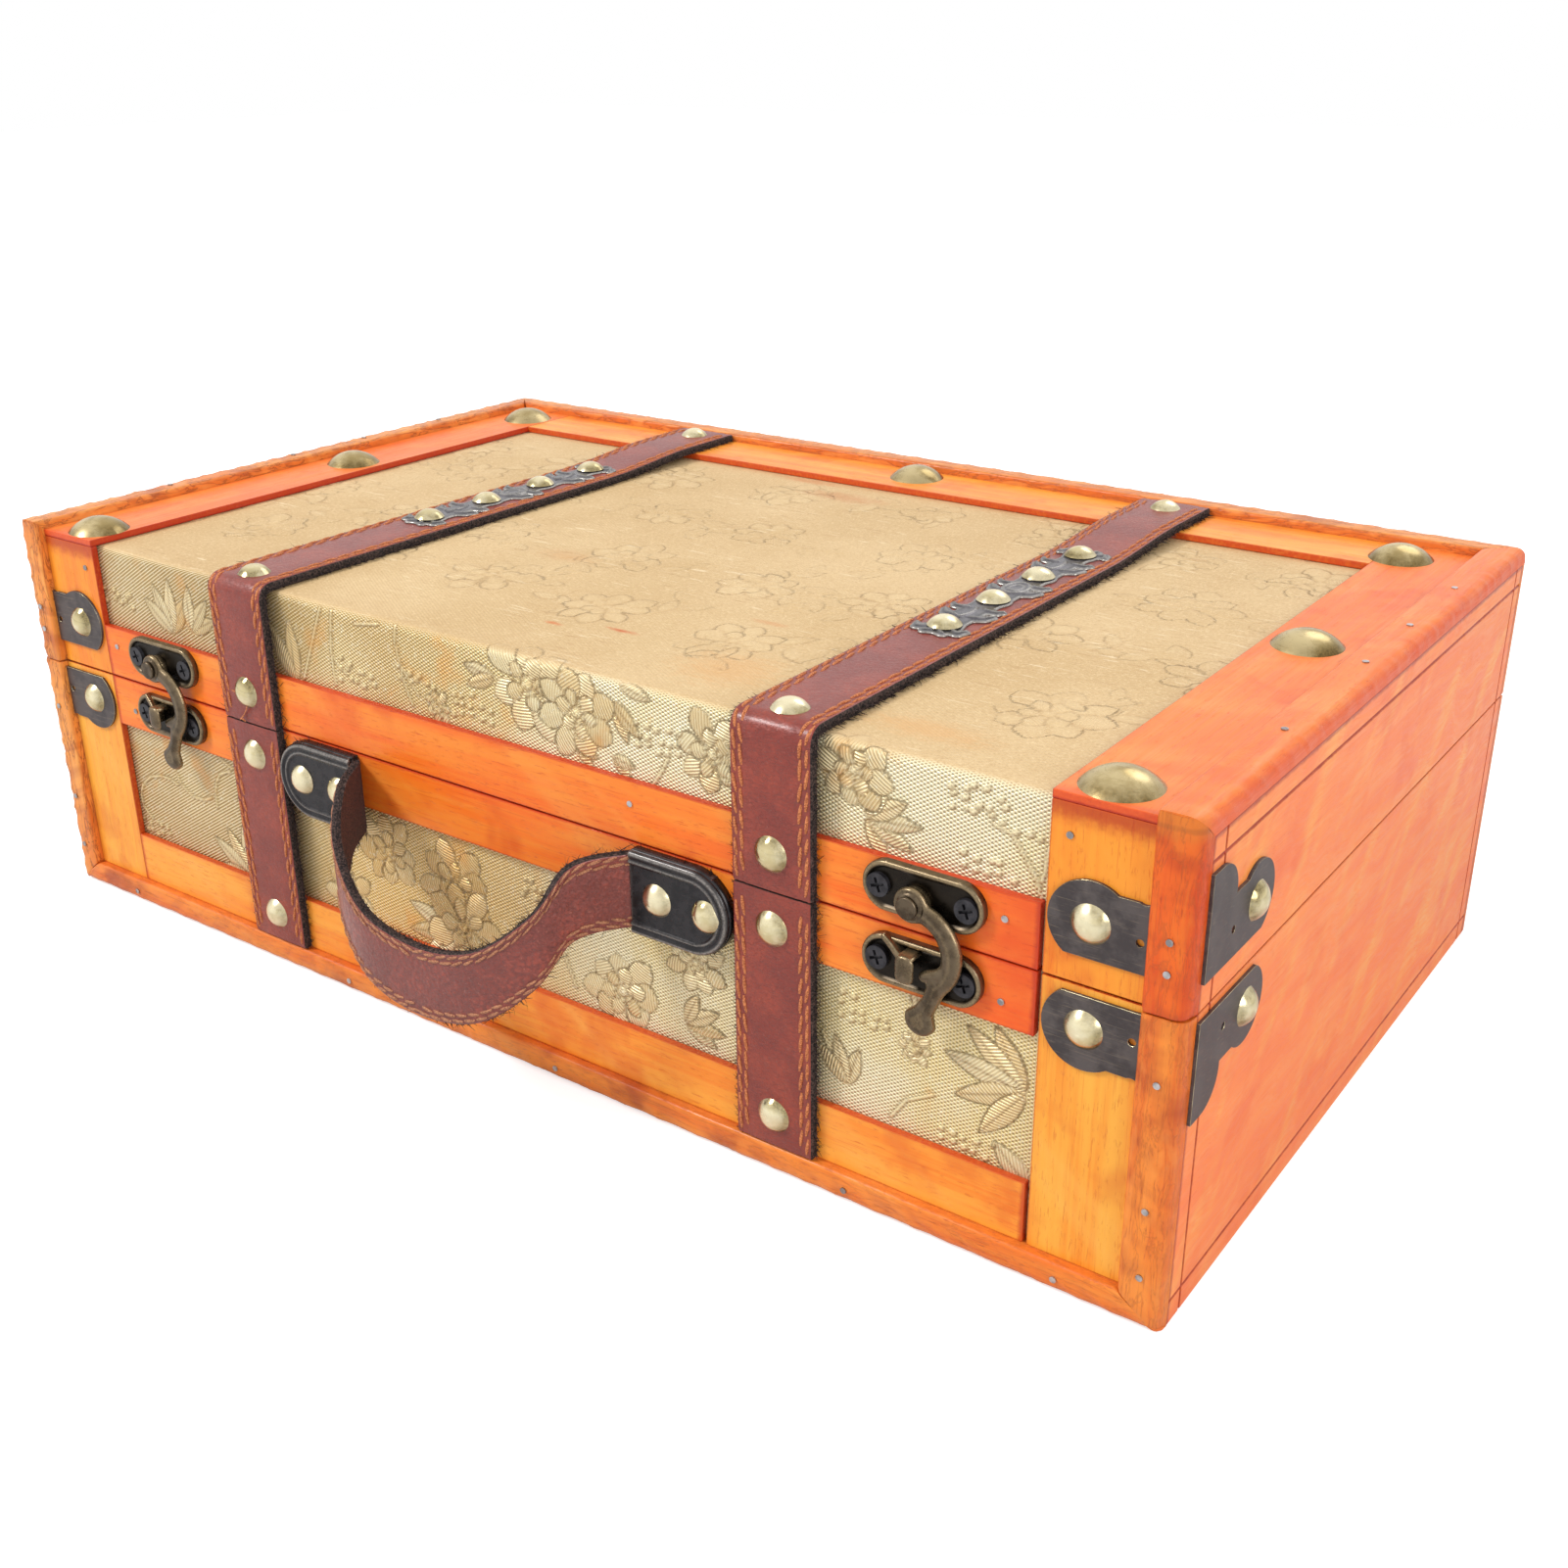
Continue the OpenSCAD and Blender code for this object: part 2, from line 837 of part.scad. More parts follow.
// Outline of an end plate, drawn in from its edge by inset, with its square end at x = 0
module plate_shape(inset, run_out) {
    r = handle_w / 2 + handle_plate_skin;
    translate([handle_plate_l - r, 0])
        circle(r - inset);
    translate([-run_out, -(r - inset)])
        square([handle_plate_l - r + run_out, 2 * (r - inset)]);
}

plate_rim = 2.2;
plate_sink = 0.5;
plate_play = 0.25;

module handle_plate(side) {
    pocket = handle_t + plate_play;
    color(gunmetal)
        difference() {
            along_y(front_y - handle_plate_t, front_y)
                translate([side * handle_half, handle_z])
                    scale([side, 1])
                        plate_shape(0, 0);
            along_y(front_y - pocket, front_y + 1)
                translate([side * handle_half, handle_z])
                    scale([side, 1])
                        plate_shape(handle_plate_skin - 0.1, 1);
            along_y(front_y - handle_plate_t - 1, front_y - handle_plate_t + plate_sink)
                translate([side * handle_half, handle_z])
                    scale([side, 1])
                        plate_shape(plate_rim, 1);
        }
}

module handle_plate_left() {
    handle_plate(-1);
}

module handle_plate_right() {
    handle_plate(1);
}

module handle_studs() {
    color(brass)
        for (side = [-1, 1], x = [handle_stud_near, handle_stud_near + handle_stud_step])
            on_front([side * (handle_half + x) + (side < 0 ? left_stud_shift : 0),
                front_y - handle_plate_t + plate_sink, handle_z])
                cap(handle_stud_d, stud_h);
}

// Right half of the handle's middle line, as [x, distance out, distance down]
half_path = [
    [handle_half + handle_t, handle_t / 2, 0],
    [handle_half - handle_t / 2, handle_t * 0.9, 0],
    [grip_half, handle_out * 0.5, handle_drop * 0.035],
    [grip_half * 0.85, handle_out * 0.77, handle_drop * 0.45],
    [grip_half * 0.49, handle_out * 0.965, handle_drop * 0.86],
    [0, handle_out, handle_drop]];

// Catmull-Rom point between b and c
function smooth(a, b, c, d, t) = 0.5 * (2 * b + (c - a) * t + (2 * a - 5 * b + 4 * c - d) * t * t
    + (3 * b - a - 3 * c + d) * t * t * t);

function mirror_x(p) = [-p.x, p.y, p.z];
path_knots = concat(half_path, [for (i = [4:-1:0]) mirror_x(half_path[i])]);
knot_last = len(path_knots) - 1;
function knot(i) = i < 0 ? 2 * path_knots[0] - path_knots[1] :
    i > knot_last ? 2 * path_knots[knot_last] - path_knots[knot_last - 1] : path_knots[i];

path_steps = 5;
handle_path = [for (i = [0:knot_last - 1], k = [0:path_steps - 1])
    smooth(knot(i - 1), knot(i), knot(i + 1), knot(i + 2), k / path_steps)];
handle_line = concat(handle_path, [path_knots[knot_last]]);

// Strip of leather that stands on edge along the handle's line
module handle_strip() {
    n = len(handle_line);
    rings = [for (i = [0:n - 1])
        let (a = handle_line[max(i - 1, 0)], b = handle_line[min(i + 1, n - 1)],
            d = [b.x - a.x, -(b.y - a.y)], s = norm(d), q = [-d.y, d.x] / s * handle_t / 2,
            p = handle_line[i], x = p.x, y = front_y - p.y, z = handle_z - p.z)
            [[x - q.x, y - q.y, z - handle_w / 2], [x + q.x, y + q.y, z - handle_w / 2],
                [x + q.x, y + q.y, z + handle_w / 2], [x - q.x, y - q.y, z + handle_w / 2]]];
    points = [for (r = rings, p = r) p];
    sides = [for (i = [0:n - 2], k = [0:3], half = [0, 1])
        let (a = 4 * i + k, b = 4 * i + (k + 1) % 4)
            half == 0 ? [a, b, b + 4] : [a, b + 4, a + 4]];
    last = 4 * (n - 1);
    ends = [[0, 3, 2], [0, 2, 1], [last, last + 1, last + 2], [last, last + 2, last + 3]];
    polyhedron(points, [for (f = concat(sides, ends)) [f[2], f[1], f[0]]], convexity = 6);
}

// The tongues that the end plates clamp, out to where the swinging part starts
module handle_ends() {
    bend_x = grip_half + 0.2;
    color(leather)
        for (side = [-1, 1]) {
            intersection() {
                handle_strip();
                span([side > 0 ? bend_x : -handle_half, front_y - handle_out - 9, 0],
                    [side > 0 ? handle_half : -bend_x, front_y, case_h]);
            }
            along_y(front_y - handle_t, front_y)
                translate([side * handle_half, handle_z])
                    scale([side, 1])
                        plate_shape(handle_plate_skin, 0.1);
        }
}

module handle_grip() {
    color(leather)
        intersection() {
            handle_strip();
            span([-grip_half + 0.2, front_y - handle_out - 9, 0], [grip_half - 0.2, front_y, case_h]);
        }
}

// Latches

// Round-ended plate, standing on z = 0, with a sunk seat for each screw
module seat_plate() {
    r = latch_h / 2;
    run = latch_l / 2 - r;
    difference() {
        linear_extrude(latch_t)
            union() {
                square([2 * run, latch_h], center = true);
                for (end = [-1, 1])
                    translate([end * run, 0])
                        circle(r);
            }
        for (end = [-1, 1])
            translate([end * (latch_l / 2 - screw_inset), 0, latch_t - well_depth])
                cylinder(h = well_depth + 1, r = screw_r + 0.5);
    }
}

module latch_plates() {
    color(bronze)
        for (side = [-1, 1])
            on_front([side * latch_x, front_y, latch_z]) {
                seat_plate();
                translate([-pivot_left, -pivot_drop, latch_t - eps])
                    cylinder(h = boss_h + eps, r = boss_r);
            }
}

module screws_at(z) {
    reach = latch_l / 2 - screw_inset;
    color(gunmetal)
        for (side = [-1, 1], end = [-1, 1])
            on_front([side * latch_x + end * reach, front_y - latch_t + well_depth, z])
                cross_head(screw_r, well_depth + 0.3);
}

module latch_screws() {
    screws_at(latch_z);
}

module catch_screws() {
    screws_at(catch_z);
}

// Lower plate with a bent tab: open to the right, closed above and on the left.
// The tab's edges are measured from the hook's pivot and follow the hook's size.
hook_k = hook_reach / 27;
tab_left = -2.9 * hook_k;
tab_right = 2.4 * hook_k;
tab_high = -11.4 * hook_k;
tab_low = -18.6 * hook_k;
tab_t = 1;
tab_seat = hook_high + move_gap;

module catch_plates() {
    up = latch_step - pivot_drop;
    color(bronze)
        for (side = [-1, 1])
            on_front([side * latch_x, front_y, catch_z]) {
                seat_plate();
                translate([-pivot_left, up, 0]) {
                    span([tab_left, tab_low, latch_t - eps], [tab_left + tab_t, tab_high, tab_seat]);
                    span([tab_left, tab_high - tab_t, latch_t - eps], [tab_right, tab_high, tab_seat]);
                    span([tab_left, tab_low, tab_seat - eps], [tab_right, tab_high, tab_seat + tab_t]);
                }
            }
}

// Outline of the hook about its pivot, as seen from the front, with its nose pointing left
module hook_shape() {
    c = [0.8, -10.4];
    outer = 12;
    inner = 7;
    knob = [3.1, -27];
    difference() {
        scale([hook_k, hook_k])
            union() {
                circle(4.2);
                intersection() {
                    difference() {
                        translate(c)
                            circle(outer);
                        translate(c)
                            circle(inner);
                    }
                    polygon([c, [-1.4, 8], [22, 8], [22, -30], c + 22 * [cos(-52), sin(-52)]]);
                }
                // tail down to the knob
                polygon([c + (outer - 0.1) * [cos(-50), sin(-50)], c + (inner + 0.2) * [cos(-50), sin(-50)],
                    knob + [-0.4, 3], knob + [3.6, 0]]);
                translate(knob)
                    circle(3.9);
                // nose
                polygon([[8.4, -9.6], [5.4, -13.4], [2.4, -15.4], [2.4, -17], [6.4, -17.6], [8.8, -16]]);
            }
        circle(rivet_r + pin_fit);
    }
}

module hook(side) {
    color(bronze)
        on_front([side * latch_x - pivot_left, front_y - hook_low, latch_z - pivot_drop])
            linear_extrude(hook_t)
                hook_shape();
}

module hook_left() {
    hook(-1);
}

module hook_right() {
    hook(1);
}

module latch_rivets() {
    shank_h = hook_high + head_gap - latch_t - boss_h;
    color(bronze)
        for (side = [-1, 1])
            on_front([side * latch_x - pivot_left, front_y - latch_t - boss_h, latch_z - pivot_drop]) {
                cylinder(h = shank_h + eps, r = rivet_r);
                translate([0, 0, shank_h])
                    cylinder(h = head_h, r = head_r);
            }
}

// Rear hinges, each with heels that meet past the end of the lid's travel

knuckle_half = hinge_w / 6;
heel_r = 4.2;
heel_w = 1.6;
lid_heel_angle = 60;

// A block that stands out from the hinge axis at an angle in the side view
module heel(x0, x1, r0, angle) {
    translate([0, hinge_y, seam_h])
        rotate([angle, 0, 0])
            span([x0, r0, -heel_w / 2], [x1, heel_r, heel_w / 2]);
}

// Barrel piece between two places along the axis
module knuckle(x0, x1) {
    translate([x0, hinge_y, seam_h])
        rotate([0, 90, 0])
            cylinder(h = x1 - x0, r = knuckle_r);
}

// The bore for the pin, through the whole hinge
module pin_bore() {
    translate([-hinge_w, hinge_y, seam_h])
        rotate([0, 90, 0])
            cylinder(h = 2 * hinge_w, r = hinge_pin_r + pin_fit);
}

module hinge_base_leaf() {
    k = knuckle_half;
    g = move_gap;
    half = hinge_w / 2;
    leaf_y = rear_face_y + hinge_t;
    difference() {
        union() {
            span([-half, rear_face_y, seam_h - hinge_h], [half, leaf_y, seam_h]);
            for (side = [-1, 1]) {
                knuckle(side > 0 ? k + g : -hinge_w / 2, side > 0 ? hinge_w / 2 : -k - g);
                heel(side > 0 ? k + g : -k - g - 2, side > 0 ? k + g + 2 : -k - g, knuckle_r - 0.5, -90);
            }
        }
        span([-k - g, rear_face_y - 1, seam_h - knuckle_r - g], [k + g, leaf_y + 1, seam_h + 1]);
        pin_bore();
    }
}

module hinge_lid_leaf() {
    k = knuckle_half;
    g = move_gap;
    half = hinge_w / 2;
    leaf_y = rear_face_y + hinge_t;
    difference() {
        union() {
            difference() {
                span([-half, rear_face_y, seam_h], [half, leaf_y, seam_h + hinge_h]);
                for (side = [-1, 1])
                    span([side > 0 ? k : -hinge_w, rear_face_y - 1, seam_h - 1],
                        [side > 0 ? hinge_w : -k, leaf_y + 1, seam_h + knuckle_r + g]);
            }
            knuckle(-k, k);
            heel(-k, k, knuckle_r - 0.5, lid_heel_angle);
            heel(-k - g - 2, k + g + 2, knuckle_r + g + 0.1, lid_heel_angle);
        }
        pin_bore();
    }
}

module hinge_base_leaves() {
    color(old_brass)
        for (side = [-1, 1])
            translate([side * hinge_x, 0, 0])
                hinge_base_leaf();
}

module hinge_lid_leaves() {
    color(old_brass)
        for (side = [-1, 1])
            translate([side * hinge_x, 0, 0])
                hinge_lid_leaf();
}

module hinge_pins() {
    color(steel)
        for (side = [-1, 1])
            translate([side * hinge_x - hinge_w / 2 - 0.3, hinge_y, seam_h])
                rotate([0, 90, 0])
                    cylinder(h = hinge_w + 0.6, r = hinge_pin_r);
}

module hinge_screws(up) {
    inset = 4.5;
    half = hinge_w / 2;
    color(steel)
        for (side = [-1, 1], x = [inset - half, 0, half - inset])
            translate([side * hinge_x + x, rear_face_y + hinge_t,
                seam_h + up * (hinge_h - inset - (x == 0 ? 3 : 0))])
                rotate([-90, 0, 0])
                    cross_head(1.8, 0.7);
}

module hinge_base_screws() {
    hinge_screws(-1);
}

module hinge_lid_screws() {
    hinge_screws(1);
}

base_floor();
base_end_left();
base_end_right();
base_front_board();
base_rear_board();
base_front_cloth();
base_posts();
base_top_rail();
base_bottom_rail();
base_foot_moulding();
base_front_mouldings();
base_rear_mouldings();
base_strap_left();
base_strap_right();
base_strap_studs();
base_corner_leaves();
base_corner_studs();
handle_plate_left();
handle_plate_right();
handle_studs();
handle_ends();
handle_grip();
catch_plates();
catch_screws();
hinge_base_leaves();
hinge_base_screws();
hinge_pins();
base_brads();
lid_top_board();
lid_end_left();
lid_end_right();
lid_front_board();
lid_rear_board();
lid_cloth();
lid_posts();
lid_rail();
lid_strip_left();
lid_strip_right();
lid_strip_rear();
lid_moulding_left();
lid_moulding_right();
lid_moulding_rear();
lid_front_mouldings();
lid_rear_mouldings();
lid_strap_left();
lid_strap_right();
strap_plate_left();
strap_plate_right();
lid_strap_studs();
lid_domes();
lid_corner_leaves();
lid_corner_studs();
latch_plates();
latch_screws();
latch_rivets();
hinge_lid_leaves();
hinge_lid_screws();
lid_brads();
hook_left();
hook_right();
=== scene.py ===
"""Dresses the wooden suitcase trunk: brocade, stained wood, stitched leather and aged metal."""
import math

import bpy
import numpy as np
from mathutils import Matrix, Vector


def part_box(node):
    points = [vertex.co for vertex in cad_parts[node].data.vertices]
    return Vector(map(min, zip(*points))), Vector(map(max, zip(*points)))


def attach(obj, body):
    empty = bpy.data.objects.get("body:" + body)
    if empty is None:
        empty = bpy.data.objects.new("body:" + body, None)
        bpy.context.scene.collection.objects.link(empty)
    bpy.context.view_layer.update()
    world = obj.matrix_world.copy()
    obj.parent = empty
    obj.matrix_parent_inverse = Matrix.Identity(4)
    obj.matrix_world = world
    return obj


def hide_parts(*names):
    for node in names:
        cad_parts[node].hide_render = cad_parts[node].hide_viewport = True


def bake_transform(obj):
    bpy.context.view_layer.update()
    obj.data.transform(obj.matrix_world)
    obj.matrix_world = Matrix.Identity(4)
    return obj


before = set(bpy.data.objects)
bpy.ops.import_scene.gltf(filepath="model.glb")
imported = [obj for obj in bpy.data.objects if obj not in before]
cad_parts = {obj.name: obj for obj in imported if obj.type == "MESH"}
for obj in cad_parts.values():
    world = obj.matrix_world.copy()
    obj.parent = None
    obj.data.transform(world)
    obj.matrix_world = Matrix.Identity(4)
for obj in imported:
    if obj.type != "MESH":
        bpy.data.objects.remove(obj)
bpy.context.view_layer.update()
scene = bpy.context.scene
rng = np.random.default_rng(7)
MM = 0.001
AXES = {"x": 0, "y": 1, "z": 2}
SIDES = ((-1, "left"), (1, "right"))


def box(node):
    """Lowest and highest corner of a CAD node in millimetres."""
    low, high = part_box(node)
    return np.array(low) * 1000, np.array(high) * 1000


# Sizes read from the frame, in millimetres
post_wide = 23
front_y = box("lid_rail")[0][1]
cloth_y = box("lid_cloth")[0][1]
cloth_top = box("lid_cloth")[1][2]
post_x = box("lid_posts")[1][0] - post_wide
strip_top = box("lid_strip_left")[1][2]
base_high, lid_low = box("base_top_rail")[1][2], box("lid_rail")[0][2]
seam = (lid_low + base_high) / 2
side_x = box("base_end_right")[1][0]
mould_x = box("lid_cloth")[1][0]
mould_rear = box("lid_cloth")[1][1]
hollow = ((box("base_end_left")[1][0], box("base_front_board")[1][1], box("base_floor")[1][2]),
          (box("base_end_right")[0][0], box("base_rear_board")[0][1], box("lid_top_board")[0][2]))

# Colours and shader nodes. Colours are as seen on screen, 0 to 255.


def linear(shade):
    """The value that shaders take for a screen colour."""
    return tuple(c / 12.92 if c <= 0.04045 else ((c + 0.055) / 1.055) ** 2.4
                 for c in (part / 255 for part in shade)) + (1.0,)


class Term:
    """A node's output. Adding, subtracting, multiplying and abs() each add a Math node."""

    def __init__(self, shader, socket):
        self.shader, self.socket = shader, socket

    def __add__(self, other):
        return self.shader.math("ADD", self, other)

    def __sub__(self, other):
        return self.shader.math("SUBTRACT", self, other)

    def __rsub__(self, other):
        return self.shader.math("SUBTRACT", other, self)

    def __mul__(self, other):
        return self.shader.math("MULTIPLY", self, other)

    def __abs__(self):
        return self.shader.math("ABSOLUTE", self)


class Shader:
    """A new material, or a world, and short ways to add nodes to it. Positions are in millimetres."""

    def __init__(self, name, owner=None):
        self.owner = owner or bpy.data.materials.new(name)
        self.owner.use_nodes = True
        self.tree = self.owner.node_tree
        self._place = None

    def put(self, socket, value):
        """Links a Term to a socket, or sets a constant on it."""
        if isinstance(value, Term):
            self.tree.links.new(value.socket, socket)
        elif socket.type == "RGBA" and len(value) == 3:
            socket.default_value = linear(value)
        else:
            socket.default_value = value

    def node(self, kind, inputs=(), output=0, **settings):
        """Adds a node and gives one of its outputs. Inputs are in their order, or by name or number."""
        n = self.tree.nodes.new("ShaderNode" + kind)
        for key, value in settings.items():
            setattr(n, key, value)
        for key, value in inputs.items() if isinstance(inputs, dict) else enumerate(inputs):
            self.put(n.inputs[key], value)
        return Term(self, n.outputs[output])

    def math(self, op, *inputs):
        return self.node("Math", inputs, operation=op)

    def dot(self, a, b):
        return self.node("VectorMath", (a, b), "Value", operation="DOT_PRODUCT")

    def join(self, *inputs):
        return self.node("CombineXYZ", inputs)

    def axes(self, vector):
        """X, Y and Z of a vector."""
        x = self.node("SeparateXYZ", (vector,))
        return [Term(self, socket) for socket in x.socket.node.outputs]

    @property
    def place(self):
        """Object position in millimetres."""
        if self._place is None:
            coord = self.node("TexCoord", output="Object")
            self._place = self.node("VectorMath", {0: coord, "Scale": 1 / MM}, operation="SCALE")
        return self._place

    def facing(self):
        """The surface's own direction as X, Y and Z, which turns with the piece."""
        return self.axes(self.node("TexCoord", output="Normal"))

    def stretch(self, scale, vector=None):
        return self.node("VectorMath", (vector or self.place, scale), operation="MULTIPLY")

    def noise(self, vector, detail=3.0, rough=0.55, distort=0.0, scale=1.0):
        return self.node("TexNoise", {"Vector": vector, "Scale": scale, "Detail": detail, "Roughness": rough,
                                      "Distortion": distort}, "Fac")

    def grain(self, per_mm, detail=3.0, rough=0.55):
        """Noise with about this many spots in each millimetre."""
        return self.noise(self.stretch((per_mm, per_mm, per_mm)), detail, rough)

    def ramp(self, fac, low, high, out_low=0.0, out_high=1.0):
        return self.node("MapRange", (fac, low, high, out_low, out_high), interpolation_type="SMOOTHSTEP")

    def between(self, fac, a, b):
        """The value a where fac is 0, and b where it is 1."""
        return self.node("Mix", {0: fac, 2: a, 3: b})

    def mix(self, fac, a, b):
        """The colour a where fac is 0, and b where it is 1."""
        return self.node("Mix", {0: fac, 6: a, 7: b}, 2, data_type="RGBA")

    def layers(self, color, *coats):
        """A colour under coats of (amount, shade)."""
        for amount, shade in coats:
            color = self.mix(amount, color, shade)
        return color

    def attribute(self, name):
        return self.node("Attribute", output="Fac", attribute_name=name)

    def bump(self, height, distance, strength):
        return self.node("Bump", {"Height": height, "Strength": strength, "Distance": distance * MM})

    def finish(self, color, rough, **others):
        """Fills the surface's sockets and gives the material."""
        sockets = self.tree.nodes["Principled BSDF"].inputs
        for key, value in dict(others, Base_Color=color, Roughness=rough).items():
            self.put(sockets[key.replace("_", " ")], value)
        return self.owner


def wood(name, grain, face, light, dark, streak, edge, glow, tone=0.5, pools=(), wobble=0.0, marks=0.5,
         carved=0.0, rim=1.0, worn=0.4, inside=False):
    """Stained wood. grain and face are axes: along the fibres, and out of the broad face.

    Faces that don't look along the face axis take the edge colour. pools are (axis, place, reach, strength)
    lines where the stain has gathered. worn is the share of the paler rubbed streaks. With inside, the faces
    that look into the trunk are bare wood.
    """
    s = Shader(name)
    place = s.place
    if wobble:
        shift = (s.grain(0.03, 2) - 0.5) * wobble
        place = s.node("VectorMath", (place, s.join(shift, shift, shift)), operation="ADD")

    def figure(across, lengthwise, detail=3.0, rough=0.55, distort=0.0, at=place):
        """Noise drawn out along the fibres."""
        scale = [across] * 3
        scale[AXES[grain]] = lengthwise
        return s.noise(s.stretch(tuple(scale), at), detail, rough, distort)

    fibres = figure(1.3, 0.03, 4, 0.6)
    hairs = figure(2.2, 0.06, 2)
    bands = s.ramp(figure(0.16, 0.012), 0.35, 0.66)
    pores = s.ramp(figure(2.6, 0.22, 2), 0.64, 0.72)
    scuffs = s.ramp(figure(0.9, 0.25, 5, 0.75, at=s.place), 0.58, 0.68)
    slant = s.join(s.dot(place, (0.007, 0.008, 0.009)), s.dot(place, (0.02, -0.03, 0.026)))
    rubbed = s.noise(slant, scale=1.6)
    facing = s.facing()
    side_on = s.ramp(abs(facing[AXES[face]]), 0.55, 0.93, rim, 0.0)
    color = s.layers(s.mix(bands, dark, light),
                     (s.ramp(rubbed, 0.5, 0.7, 0.0, worn), glow),
                     (s.ramp(fibres, 0.42, 0.62, 0.0, 0.45), light),
                     (s.ramp(hairs, 0.58, 0.74, 0.0, 0.4), streak),
                     (s.ramp(s.grain(0.05, 3, 0.6), 0.5, 0.72, 0.0, tone), streak),
                     (pores * marks, streak),
                     (scuffs * (0.45 * marks + 0.1), streak),
                     (side_on * s.ramp(s.grain(1.1), 0.3, 0.6, 0.55, 1.0), edge))
    xyz = s.axes(s.place)
    ragged = s.grain(0.35, 4, 0.65)
    for axis, at, reach, strength, *shade in pools:
        near = s.ramp(abs(xyz[AXES[axis]] - at) - ragged * reach, -0.3 * reach, reach * 0.7, 1.0, 0.0)
        if at == seam:
            near = near * s.ramp(abs(facing[2]), 0.5, 0.8, 1.0, 0.1)
        color = s.mix(near * strength, color, shade[0] if shade else edge)
    height = fibres * 0.5 + pores * -0.5 + scuffs * -0.5
    if carved:
        bark = figure(0.3, 0.06, 4, 0.6, 0.8)
        facet = s.ramp(abs(bark - 0.5), 0.0, 0.03, 1.0, 0.0)
        knots = s.ramp(s.grain(0.22, 4, 0.75), 0.64, 0.74)
        color = s.layers(color,
                         # Paler beside the facet lines: painted highlights of carved facets.
                         (s.ramp(bark, 0.5, 0.66, 0.0, 0.55 * carved), glow),
                         (s.ramp(s.attribute("cut"), 0.5, 1.0, 0.0, 0.4 * carved), streak),
                         (facet * (0.75 * carved), (158, 82, 32)),
                         (knots * (0.6 * carved), (120, 64, 30)))
        height = height + facet * (-1.2 * carved)
    if inside:
        rings = s.math("SINE", figure(0.04, 0.003, 2, distort=0.3) * 130.0)
        bare = s.layers(s.mix(bands, (214, 164, 110), (230, 186, 132)),
                        (s.ramp(rings, 0.2, 1.0, 0.0, 0.34), (196, 140, 88)),
                        (s.ramp(hairs, 0.56, 0.74, 0.0, 0.5), (184, 128, 80)),
                        (pores * 0.5, (150, 100, 62)))
        within = 1.0
        for c, low_in, high_in in zip(xyz, *hollow):
            for value, step in ((low_in, 1), (high_in, -1)):
                within = s.ramp((c - value) * step, -0.12, -0.08) * within
        color = s.mix(within, color, bare)
    return s.finish(color, s.ramp(fibres, 0.3, 0.7, 0.3, 0.48), Normal=s.bump(height, 0.16, 0.6),
                    Specular_IOR_Level=0.3, Coat_Weight=0.15, Coat_Roughness=0.2)


def stain(light, dark, streak, edge, glow):
    """One shade of the orange stain."""
    return dict(light=light, dark=dark, streak=streak, edge=edge, glow=glow)


ORANGE = stain((254, 142, 46), (252, 112, 26), (216, 66, 14), (196, 56, 20), (255, 168, 74))
HONEY = stain((255, 168, 60), (250, 138, 38), (222, 88, 20), (204, 76, 26), (255, 186, 92))
AMBER = stain((252, 158, 46), (246, 132, 32), (222, 92, 20), (182, 48, 14), (255, 180, 76))
YELLOW = stain((254, 178, 64), (248, 150, 44), (222, 108, 32), (190, 66, 22), (255, 194, 92))
ROSY = stain((238, 104, 24), (224, 80, 14), (166, 42, 12), (176, 44, 16), (226, 132, 44))
WARM = stain((252, 136, 56), (246, 114, 42), (226, 80, 24), (224, 84, 34), (255, 166, 84))
BROWNER = stain((246, 144, 52), (234, 112, 34), (170, 66, 26), (196, 84, 32), (250, 168, 84))
TAWNY = stain((242, 152, 66), (232, 124, 44), (184, 84, 32), (214, 106, 40), (252, 178, 92))
SALMON = stain((255, 144, 72), (252, 124, 58), (240, 96, 40), (206, 104, 52), (255, 172, 78))


def leather(name, light, dark, gloss=0.3, grain=0.5):
    """Brown finished leather with small pebbles and creases."""
    s = Shader(name)
    pebbles = s.node("TexVoronoi", {"Vector": s.stretch((0.85, 0.85, 0.85)), "Scale": 1.0}, "Distance",
                     feature="SMOOTH_F1")
    fine = s.grain(2.6)
    crease = s.ramp(abs(s.noise(s.stretch((0.5, 0.9, 1.3)), 2, distort=0.6) - 0.5), 0.0, 0.035, 1.0, 0.0)
    # Light specks: painted glints on the pebbled grain.
    glint_specks = s.ramp(s.grain(1.2, 3, 0.7), 0.6, 0.7)
    color = s.layers(s.mix(s.ramp(s.grain(0.09, 4), 0.38, 0.66), dark, light),
                     (s.ramp(pebbles, 0.15, 0.6, 0.0, 0.9 * grain), dark),
                     (glint_specks * (0.4 * grain), (196, 120, 100)),
                     (crease * 0.25, (70, 26, 22)))
    height = pebbles * (-1.2 * grain) + fine * 0.3 - crease * 0.35
    return s.finish(color, s.ramp(fine, 0.3, 0.7, 0.34, 0.5), Normal=s.bump(height, 0.1 + 0.3 * grain, 0.8),
                    Coat_Weight=gloss, Coat_Roughness=0.22)


def felt(name, dark, light):
    """Fuzzy cut edge or backing of the leather."""
    s = Shader(name)
    fuzz = s.grain(1.8, 4, 0.7)
    return s.finish(s.mix(s.ramp(fuzz, 0.42, 0.64), dark, light), 0.95, Normal=s.bump(fuzz, 0.5, 0.9))


def thread(name, light, dark):
    s = Shader(name)
    twist = s.grain(3.2, 2)
    return s.finish(s.mix(s.ramp(twist, 0.35, 0.65), dark, light), 0.7, Normal=s.bump(twist, 0.15, 0.6))


